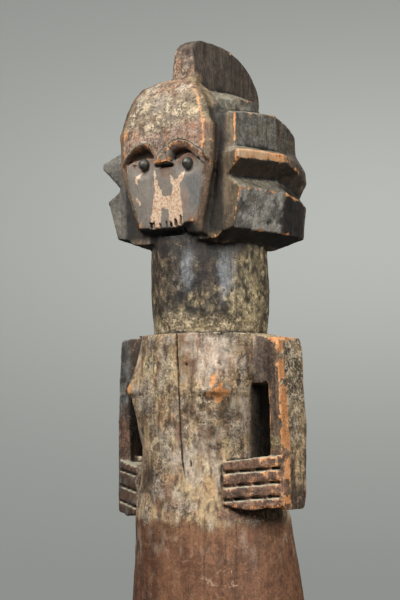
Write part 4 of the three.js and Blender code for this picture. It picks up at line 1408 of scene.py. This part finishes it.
    def paint_coiffure(self) -> None:
        """Slate-grey flanks, brown fronts and bright ridges, with painted light on the tops and on a patch of
        the near flank, painted shade on the undersides and under the chin, and partly painted shade on the
        back facets.
        """
        where = self.coiffure
        self.lay(Coat.STRIP_BROWN, where)
        self.set(where, mottle=0.45, grain=0.4, crust=0.02, pits=0.16, sheen=0.5)
        flank = where * ramp(np.abs(self.nx), 0.55, 0.8)
        self.lay(Coat.FLANK_GREY, flank)
        self.set(flank, mottle=0.6, grain=0.25, pits=0.2, sheen=0.75)
        far_front = where * ramp(-self.x, 55.0, 62.0)
        self.lay(Coat.BLUE_GREY, far_front * 0.6)
        # Painted light: faces that look up are paler
        upper = where * ramp(self.nz, 0.5, 0.8)
        self.lay(Coat.FLANK_PALE, upper * 0.7)
        rear = where * ramp(self.y, 30.0, 60.0)
        self.lay(Coat.ARM_BROWN, rear * 0.6)
        self.lay_daubs(FLANK_DAUBS, where)
        # The back-facing parts go dark umber, partly painted shade
        behind = where * ramp(self.y, 14.0, 19.0) * ramp(self.y, 72.0, 60.0)
        self.lay(Coat.DARK_UMBER, behind * 0.55)
        self.blotch(Coat.STRIP_BROWN, flank, (6.0, 6.0, 9.0), 0.56, 0.7, 0.6)
        self.blotch(Coat.BLACK, where, (4.0, 4.0, 8.0), 0.66, 0.78, 0.6)
        # Painted shade: faces that look down go dark umber
        under = where * ramp(self.nz, -0.3, -0.65)
        self.lay(Coat.DARK_UMBER, under * 0.9)
        # Painted shade: the low undersides by the chin go black
        low = where * ramp(self.z, 612.0, 604.0) * ramp(self.nz, -0.2, -0.5)
        self.lay(Coat.BLACK, low)
        ridge = where * ramp(self.z, 666.0, 669.0) * ramp(self.z, 690.0, 684.0)
        ridge *= ramp(self.x, 84.0, 89.0) * ramp(self.nz, -0.35, -0.1)
        self.add(Layer.WORN, 0.82 * ridge * ramp(self.y, 60.0, -20.0))
        self.add(Layer.DUST, 0.52 * ridge * ramp(self.y, 40.0, -30.0))
        # Painted light: a paler patch on the near flank's lower front
        lit = flank * ramp(self.z, 655.0, 640.0) * ramp(self.y, 14.0, 8.0)
        self.blotch(Coat.SLATE_PALE, lit, (9.0, 9.0, 9.0), 0.42, 0.56, 0.85)
        self.add(Layer.CRUST, lit * (0.1 + 0.3 * self.drift))
        # Black on the lowest tier's back facet: partly painted shade
        self.lay(Coat.BLACK, behind * ramp(self.z, 656.0, 646.0) * ramp(self.x, 50.0, 60.0) * 0.85)
        # Painted shadow under the chin, in black
        chin = where * ramp(np.hypot(self.x, self.y), 72.0, 67.0) * ramp(self.z, 607.0, 601.0)
        self.lay(Coat.BLACK, chin * ramp(self.y, 0.0, -25.0) * 0.95)
        self.set(chin, crust=0.0, pits=0.1, mottle=0.4)

    def paint_crest(self) -> None:
        """Dark brown grain on the crest's flanks, pinkish and flaked on its front."""
        self.lay(Coat.CREST_BROWN, self.crest)
        self.set(self.crest, mottle=0.5, grain=0.8, crust=0.05, pits=0.35, sheen=0.45)
        front = self.crest * ramp(-self.ny, 0.5, 0.8)
        self.lay(Coat.CREST_PINK, front)
        self.set(front, mottle=0.9, grain=0.3, crust=0.3, pits=0.42, sheen=0.2)
        self.blotch(Coat.PINK_GREY, front, (5.0, 5.0, 7.0), 0.5, 0.56, 0.8)
        self.blotch(Coat.DARK_UMBER, front, (4.0, 4.0, 8.0), 0.56, 0.62, 0.8)
        self.add(Layer.CRUST, 0.6 * self.near((4.0, -46.0, 768.0), 12.0, 0.7) * self.crest)
        top = self.crest * ramp(self.nz, 0.3, 0.6) * ramp(self.z, 770.0, 780.0)
        self.lay(Coat.DARK_UMBER, top * 0.8)
        self.set(top, crust=0.05, mottle=0.5)

    def paint_forehead(self) -> None:
        """Granular cream and grey crust over purple-brown, with worn orange edges."""
        forehead = self.plate * self.brow
        self.lay(Coat.PURPLE_BROWN, forehead)
        self.set(forehead, mottle=0.85, grain=0.25, crust=0.16, pits=0.3, sheen=0.3)
        high = forehead * ramp(self.z + 18.0 * (self.drift - 0.5), 700.0, 716.0)
        self.lay(Coat.TAN_CRUST, high * 0.8)
        self.lay(Coat.CHALK, high * 0.4)
        self.set(high, mottle=1.0, crust=0.5, pits=0.38)
        top = forehead * ramp(self.z, 738.0, 752.0)
        self.lay(Coat.CREST_PINK, top * 0.7)
        self.set(top, crust=0.28, pits=0.36)
        side = self.carving.crease(self.z)
        edge = forehead * ramp(self.across - side + 2.0 * (self.fleck - 0.5), -3.0, -0.5)
        edge *= ramp(self.across - side, 3.0, 1.0) * (0.8 + 0.5 * ramp(self.drift, 0.35, 0.6))
        edge *= 1.0 - 0.7 * ramp(self.x, -20.0, -40.0) * ramp(self.z, 712.0, 722.0)
        self.add(Layer.WORN, 0.62 * edge * ramp(self.z, 676.0, 684.0) * ramp(self.z, 757.0, 750.0))
        bevel = forehead * ramp(self.across - side, 1.0, 3.0)
        self.lay(Coat.STRIP_BROWN, bevel * 0.9)
        self.lay(Coat.OLIVE_TAN, bevel * ramp(self.z, 700.0, 715.0) * 0.8)
        self.set(bevel, crust=0.2, mottle=0.6, grain=0.5)
        dark_rim = forehead * (self.x < 0.0) * ramp(self.z, 708.0, 718.0)
        dark_rim *= ramp(self.across - self.carving.half_width(self.z), -8.0, -4.0)
        self.lay(Coat.DARK_UMBER, dark_rim * 0.8)
        self.layers[Layer.CRUST] *= 1.0 - 0.8 * dark_rim
        self.blotch(Coat.UMBER, forehead, (4.0, 4.0, 6.0), 0.6, 0.7, 0.7)
        self.blotch(Coat.BARE, forehead * (1.0 - high * 0.6), (6.0, 6.0, 7.0), 0.5, 0.62, 0.6)
        self.lay_daubs(FOREHEAD_DAUBS, forehead)
        scattered = ramp(self.speckle.at(self.surface.points + 41.0, 5.0), 0.72, 0.88)
        self.add(Layer.WORN, 0.42 * forehead * scattered)
        for place, reach in (((-52.0, -76.0, 705.0), 6.0), ((-40.0, -78.0, 706.0), 4.0)):
            self.add(Layer.WORN, 0.6 * self.near(place, reach, 1.4))

    def paint_face(self) -> None:
        """Smooth grey lower face with cream flakes, brown round the eyes and a bright nose edge."""
        face = self.plate * (1.0 - self.brow)
        self.lay(Coat.FACE_GREY, face)
        self.set(face, mottle=0.18, grain=0.12, crust=0.0, pits=0.04, sheen=0.45)
        self.lay_daubs(FACE_DAUBS, face)
        band = face * ramp(self.below_rim, 8.0, 5.5)
        self.lay(Coat.HAND_BROWN, band * 0.9)
        self.set(band, mottle=0.9, crust=0.1, pits=0.35)
        self.add(Layer.WORN, 0.42 * band * ramp(self.below_rim, 0.0, 2.0))
        rim = self.plate * np.exp(-((self.below_rim - 0.3) / 1.1) ** 2) * ramp(self.z, 676.0, 680.0)
        self.lay(Coat.PALE_LIME, rim * 0.8)
        self.add(Layer.CRUST, 0.5 * rim)
        flat = self.surface.points[:, [0, 2]]
        cream = np.zeros(len(flat))
        for path in self.cream_strokes:
            cream = np.maximum(cream, stroke(flat, path, 1.6))
        self.add(Layer.CREAM, cream * face * ramp(-self.ny, 0.3, 0.6))
        side = self.carving.crease(self.z)
        bevel = face * ramp(np.abs(self.x) - side, -0.5, 1.5)
        self.lay(Coat.UMBER, bevel * 0.85)
        self.set(bevel, mottle=0.5, grain=0.4)
        line = face * np.exp(-((np.abs(self.x) - side) / 0.9) ** 2) * (self.z < 676.0)
        self.add(Layer.CREAM, line * (0.25 + 0.5 * self.fleck))
        nose = stroke(flat, ((-9.0, 672.2, 1.5), (9.3, 673.8, 1.5), (10.5, 677.0, 1.2)), 1.0)
        self.add(Layer.WORN, nose * ramp(self.y, -75.0, -77.5))
        corner = self.near((-38.0, -70.0, 609.0), 5.0) + self.near((34.0, -69.0, 608.0), 5.0)
        self.add(Layer.WORN, 0.7 * face * corner)

    def rub_soil_and_shade(self) -> None:
        """Wear on every edge, dirt and painted shade in every hollow, and painted black shade deep in gaps,
        slots, slits and under the chin.
        """
        edge = ramp(self.relief, 0.22, 0.75) * (0.35 + 1.1 * ramp(self.drift, 0.3, 0.7) * self.fleck)
        strength = 0.42 * self.coiffure * (1.0 - 0.45 * ramp(self.nz, 0.25, 0.6)) + 0.22 * self.crest
        strength += 0.5 * self.plate * self.brow
        strength += 0.55 * self.arm + 0.45 * self.hand + 0.12 * self.lower
        strength *= 0.35 + 0.65 * ramp(self.x, -70.0, -55.0)
        self.add(Layer.WORN, np.clip(edge * strength * 1.5, 0.0, 0.85))
        for place, reach, tall in self.bare_breasts:
            self.add(Layer.WORN, np.clip(1.4 * self.near(place, reach, tall) - 0.18, 0.0, 0.92))
        for path, strength in self.worn_lines:
            away, radius = from_path(self.surface.points, path)
            line = ramp(away - radius * (0.5 + self.fleck), 1.4, -0.4)
            self.add(Layer.WORN, strength * line)
        # Painted shadow under the chin: wear is taken out there so the black stays unbroken
        chin_shadow_zone = ramp(self.z, 572.0, 582.0) * ramp(self.z, 606.0, 600.0)
        chin_shadow_zone *= ramp(np.hypot(self.x, self.y), 72.0, 67.0)
        self.layers[Layer.WORN] *= 1.0 - chin_shadow_zone
        for path in self.dark_lines:
            away, radius = from_path(self.surface.points, path)
            self.add(Layer.GRIME, 0.85 * ramp(away - radius, 1.1, 0.0))
        for gash in self.cracks:
            away, half = from_path(self.surface.points, gash.path)
            self.add(Layer.GRIME, 0.92 * ramp(away - half, 0.9, 0.0))
        # Darkening by the surface's relief: partly dirt, partly painted shade in hollows and creases
        hollow = 0.85 * ramp(self.relief, -0.2, -0.9) + 0.6 * ramp(self.wide_relief, -1.2, -3.5)
        hollow *= 1.0 - ramp(self.near((78.0, -24.0, 472.0), 16.0, 1.6), 0.1, 0.4)
        hollow *= 1.0 - 0.8 * self.plate * (1.0 - self.brow) * ramp(self.below_rim, 14.0, 18.0)
        # Painted shade: the gutter beside the face plate, the slots and the arms' inner faces beside them,
        # the undersides under the chin, the hollows under the brow and nose, and the slits between the teeth
        gutter = self.head * ramp(np.abs(self.x), 70.0, 64.0) * ramp(self.y, -69.0, -64.0)
        gutter *= ramp(self.y, -30.0, -50.0) * ramp(self.z, 735.0, 722.0) * ramp(self.z, 594.0, 600.0)
        turn = np.degrees(np.arctan2(np.abs(self.x), -self.y))
        slot = ramp(turn, 71.0, 77.0) * ramp(turn, 112.0, 104.0) * ramp(self.z, 366.0, 371.0)
        beside_slot = ramp(self.z, SLOT_TOP_Z, SLOT_TOP_Z - 4.0)
        slot *= beside_slot * ramp(np.hypot(self.x, self.y), 78.0, 74.0)
        inner = self.arm * ramp(-self.nx * np.sign(self.x), 0.5, 0.8) * beside_slot
        chin = self.head * ramp(self.nz, -0.35, -0.7) * ramp(self.z, 640.0, 615.0)
        chin *= ramp(np.abs(self.x), 58.0, 50.0)
        flat = self.surface.points[:, [0, 2]]
        hole = self.plate * (1.0 - self.brow) * self.carving.in_hollow(flat, 0.8)
        slit = self.plate * self.carving.in_slit(self.x, self.z) * ramp(np.abs(self.x), 30.0, 28.0)
        # All of these are painted shade, laid as near-black grime
        deep = [0.9 * gutter, 0.92 * slot, 0.9 * inner, 0.85 * chin, 0.75 * hole, 0.95 * slit]
        deep = np.maximum.reduce(deep)
        self.add(Layer.GRIME, np.clip(np.maximum(hollow, deep), 0.0, 0.96))

    def keep(self) -> None:
        """Stores the ground colour and every layer on the mesh."""
        for layer, values in self.layers.items():
            self.surface.store(layer, values)
        attribute = self.surface.mesh.attributes.new(GROUND, "FLOAT_COLOR", "POINT")
        colours = np.concatenate([self.ground, np.ones((len(self.ground), 1))], 1)
        attribute.data.foreach_set("color", colours.astype(np.float32).ravel())


@dataclass
class EyeTack:
    """A domed iron tack head that stands for its CAD node."""

    node: str
    rings: int = 24
    segments: int = 40
    rim_bevel: float = 0.0004

    def build(self) -> bpy.types.Object:
        """Makes the dome with a flat back and a slightly turned-in rim.

        Returns:
            The finished piece, without its material.
        """
        low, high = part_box(self.node)
        centre, size = (low + high) / 2, high - low
        deselect_all()
        bpy.ops.mesh.primitive_uv_sphere_add(
            segments=self.segments, ring_count=self.rings, radius=0.5,
            location=(centre.x, high.y, centre.z), rotation=(math.pi / 2, 0.0, 0.0))
        piece = bpy.context.object
        piece.name = f"{self.node}_head"
        piece.scale = (size.x, size.z, 2.0 * size.y)
        bpy.ops.object.transform_apply(location=True, rotation=True, scale=True)
        bpy.ops.object.mode_set(mode="EDIT")
        bpy.ops.mesh.select_all(action="SELECT")
        bpy.ops.mesh.bisect(plane_co=(centre.x, high.y, centre.z), plane_no=(0.0, 1.0, 0.0),
                            use_fill=True, clear_outer=True)
        bpy.ops.mesh.select_all(action="SELECT")
        bpy.ops.mesh.normals_make_consistent(inside=False)
        bpy.ops.object.mode_set(mode="OBJECT")
        apply_modifier(piece, "BEVEL", width=self.rim_bevel, segments=3, limit_method="ANGLE")
        make_active(piece)
        bpy.ops.object.shade_smooth()
        return piece


@dataclass
class Studio:
    """Camera, soft lights and one seamless pale sweep from floor to backdrop."""

    camera_distance: float = 1.68
    camera_height: float = 0.399
    camera_turn: float = 40.0
    camera_tilt: float = 4.645
    camera_lead: float = 0.376
    lens: float = 96.0
    floor_radius: float = 4.6
    sweep_radius: float = 1.6
    wall_height: float = 5.0
    sweep_steps: int = 12
    chest_height: float = 0.5
    air_colour: str = "c8cac8"
    air_strength: float = 0.15

    def build(self) -> None:
        """Sets up everything that isn't part of the object."""
        self.place_camera()
        self.place_lights()
        self.make_sweep()

    def place_camera(self) -> None:
        """Puts the camera at the photograph's viewing angle."""
        turn = math.radians(self.camera_turn)
        data = bpy.data.cameras.new("camera")
        data.lens = self.lens
        data.clip_end = 60.0
        camera = bpy.data.objects.new("camera", data)
        camera.location = (self.camera_distance * math.sin(turn), -self.camera_distance * math.cos(turn),
                           self.camera_height)
        tilt, lead = math.radians(90.0 + self.camera_tilt), math.radians(self.camera_lead)
        camera.rotation_euler = (tilt, 0.0, turn + lead)
        bpy.context.scene.collection.objects.link(camera)
        bpy.context.scene.camera = camera

    def place_lights(self) -> None:
        """Adds a high soft key from the figure's front, one from its left and a weak one from behind."""
        self.add_softbox("key", azimuth=-8.0, elevation=48.0, distance=2.3, size=1.3, power=67.0)
        self.add_softbox("side", azimuth=74.0, elevation=30.0, distance=2.4, size=1.2, power=44.0)
        self.add_softbox("back", azimuth=222.0, elevation=32.0, distance=2.7, size=2.0, power=20.0)
        world = bpy.data.worlds.new("studio")
        world.use_nodes = True
        background = world.node_tree.nodes["Background"]
        background.inputs["Color"].default_value = linear(self.air_colour)
        background.inputs["Strength"].default_value = self.air_strength
        bpy.context.scene.world = world
        bpy.context.scene.view_settings.view_transform = "Standard"

    def add_softbox(self, name: str, azimuth: float, elevation: float, distance: float,
                    size: float, power: float) -> None:
        """Adds a square area light that looks at the figure's chest and that the camera doesn't see.

        Args:
            name: The light's name.
            azimuth: Degrees from the figure's front towards its left.
            elevation: Degrees above the horizon.
            distance: Metres from the chest.
            size: Side of the square in metres.
            power: Watts.
        """
        turn, rise = math.radians(azimuth), math.radians(elevation)
        away = Vector((math.sin(turn) * math.cos(rise), -math.cos(turn) * math.cos(rise), math.sin(rise)))
        data = bpy.data.lights.new(name, "AREA")
        data.shape, data.size, data.energy = "SQUARE", size, power
        light = bpy.data.objects.new(name, data)
        light.location = Vector((0.0, 0.0, self.chest_height)) + away * distance
        light.rotation_euler = away.to_track_quat("Z", "Y").to_euler()
        light.visible_camera = False
        bpy.context.scene.collection.objects.link(light)

    def make_sweep(self) -> None:
        """Makes the floor, which curves up into a round backdrop, and hides it from diffuse and glossy rays.
        """
        deselect_all()
        bpy.ops.mesh.primitive_circle_add(vertices=96, radius=self.floor_radius, fill_type="NGON")
        sweep = bpy.context.object
        sweep.name = "floor_and_backdrop"
        bpy.ops.object.mode_set(mode="EDIT")
        bpy.ops.mesh.select_all(action="SELECT")
        radius, height = self.floor_radius, 0.0
        for step in range(1, self.sweep_steps + 2):
            angle = min(step / self.sweep_steps, 1.0) * math.pi / 2
            new_radius = self.floor_radius + self.sweep_radius * math.sin(angle)
            new_height = self.sweep_radius * (1.0 - math.cos(angle))
            if step > self.sweep_steps:
                new_height = self.wall_height
            if step == 1:
                bpy.ops.mesh.select_mode(type="EDGE")
                bpy.ops.mesh.region_to_loop()
            bpy.ops.mesh.extrude_edges_move(
                TRANSFORM_OT_translate={"value": (0.0, 0.0, new_height - height)})
            bpy.ops.transform.resize(value=(new_radius / radius, new_radius / radius, 1.0),
                                     center_override=(0.0, 0.0, 0.0))
            radius, height = new_radius, new_height
        bpy.ops.object.mode_set(mode="OBJECT")
        bpy.ops.object.shade_smooth()
        sweep.data.materials.append(SweepPaint().build())
        sweep.visible_diffuse = False
        sweep.visible_glossy = False


@dataclass(frozen=True)
class SweepPaint:
    """Pale matt paint on the floor, which turns into a grey backdrop that glows by itself, brightest in a
    painted pool of light.
    """

    floor: str = "c9cac6"
    bright: str = "babcb7"
    dim: str = "8d908c"
    glow_place: tuple[float, float, float] = (-3.1, 4.9, 1.4)
    glow_size: tuple[float, float, float] = (2.4, 2.4, 1.0)
    floor_ends: float = 0.9
    wall_starts: float = 2.0

    def build(self) -> bpy.types.Material:
        """Writes the material.

        Returns:
            The material for the floor and the backdrop.
        """
        mix = Recipe("studio_sweep")
        shrink = tuple(1.0 / s for s in self.glow_size)
        centre = tuple(-p / s for p, s in zip(self.glow_place, self.glow_size))
        inputs = {"Vector": mix.place, "Scale": shrink, "Location": centre}
        away = mix.length(mix.add("ShaderNodeMapping", inputs).outputs[0])
        # A painted pool of light: the backdrop glows brightest round this place and dims away from it
        glow = mix.math("EXPONENT", mix.math("MULTIPLY", mix.math("MULTIPLY", away, away), -1.0))
        wall = mix.blend(glow, self.dim, self.bright)
        share = mix.rise(mix.length(mix.stretched((1.0, 1.0, 0.0))), self.floor_ends, self.wall_starts)
        paint = mix.add("ShaderNodeBsdfDiffuse", {"Color": linear(self.floor)}).outputs[0]
        # The backdrop glows by itself; it is no lamp
        light = mix.add("ShaderNodeEmission", {"Color": wall, "Strength": 1.0}).outputs[0]
        joined = mix.add("ShaderNodeMixShader", {0: share, 1: paint, 2: light}).outputs[0]
        mix.add("ShaderNodeOutputMaterial", {"Surface": joined})
        return mix.material


def dress(piece: bpy.types.Object, node: str, material: bpy.types.Material) -> None:
    """Gives a piece its material and lets it stand for its CAD node.

    Args:
        piece: The finished piece.
        node: The CAD node that it replaces.
        material: The piece's material.
    """
    piece.data.materials.clear()
    piece.data.materials.append(material)
    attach(piece, "root")
    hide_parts(node)
    LOG.info("%s stands for %s with %d faces", piece.name, node, len(piece.data.polygons))


def main() -> None:
    """Builds the studio and the pieces in order and notes the sizes."""
    logging.basicConfig(level=logging.INFO)
    Studio().build()
    figure = CarvedFigure()
    dress(figure.build(), figure.node, PatinatedWood().build())
    iron = TackIron().build()
    for node in ("left_eye_tack", "right_eye_tack"):
        dress(EyeTack(node).build(), node, iron)


if __name__ == "__main__":
    main()
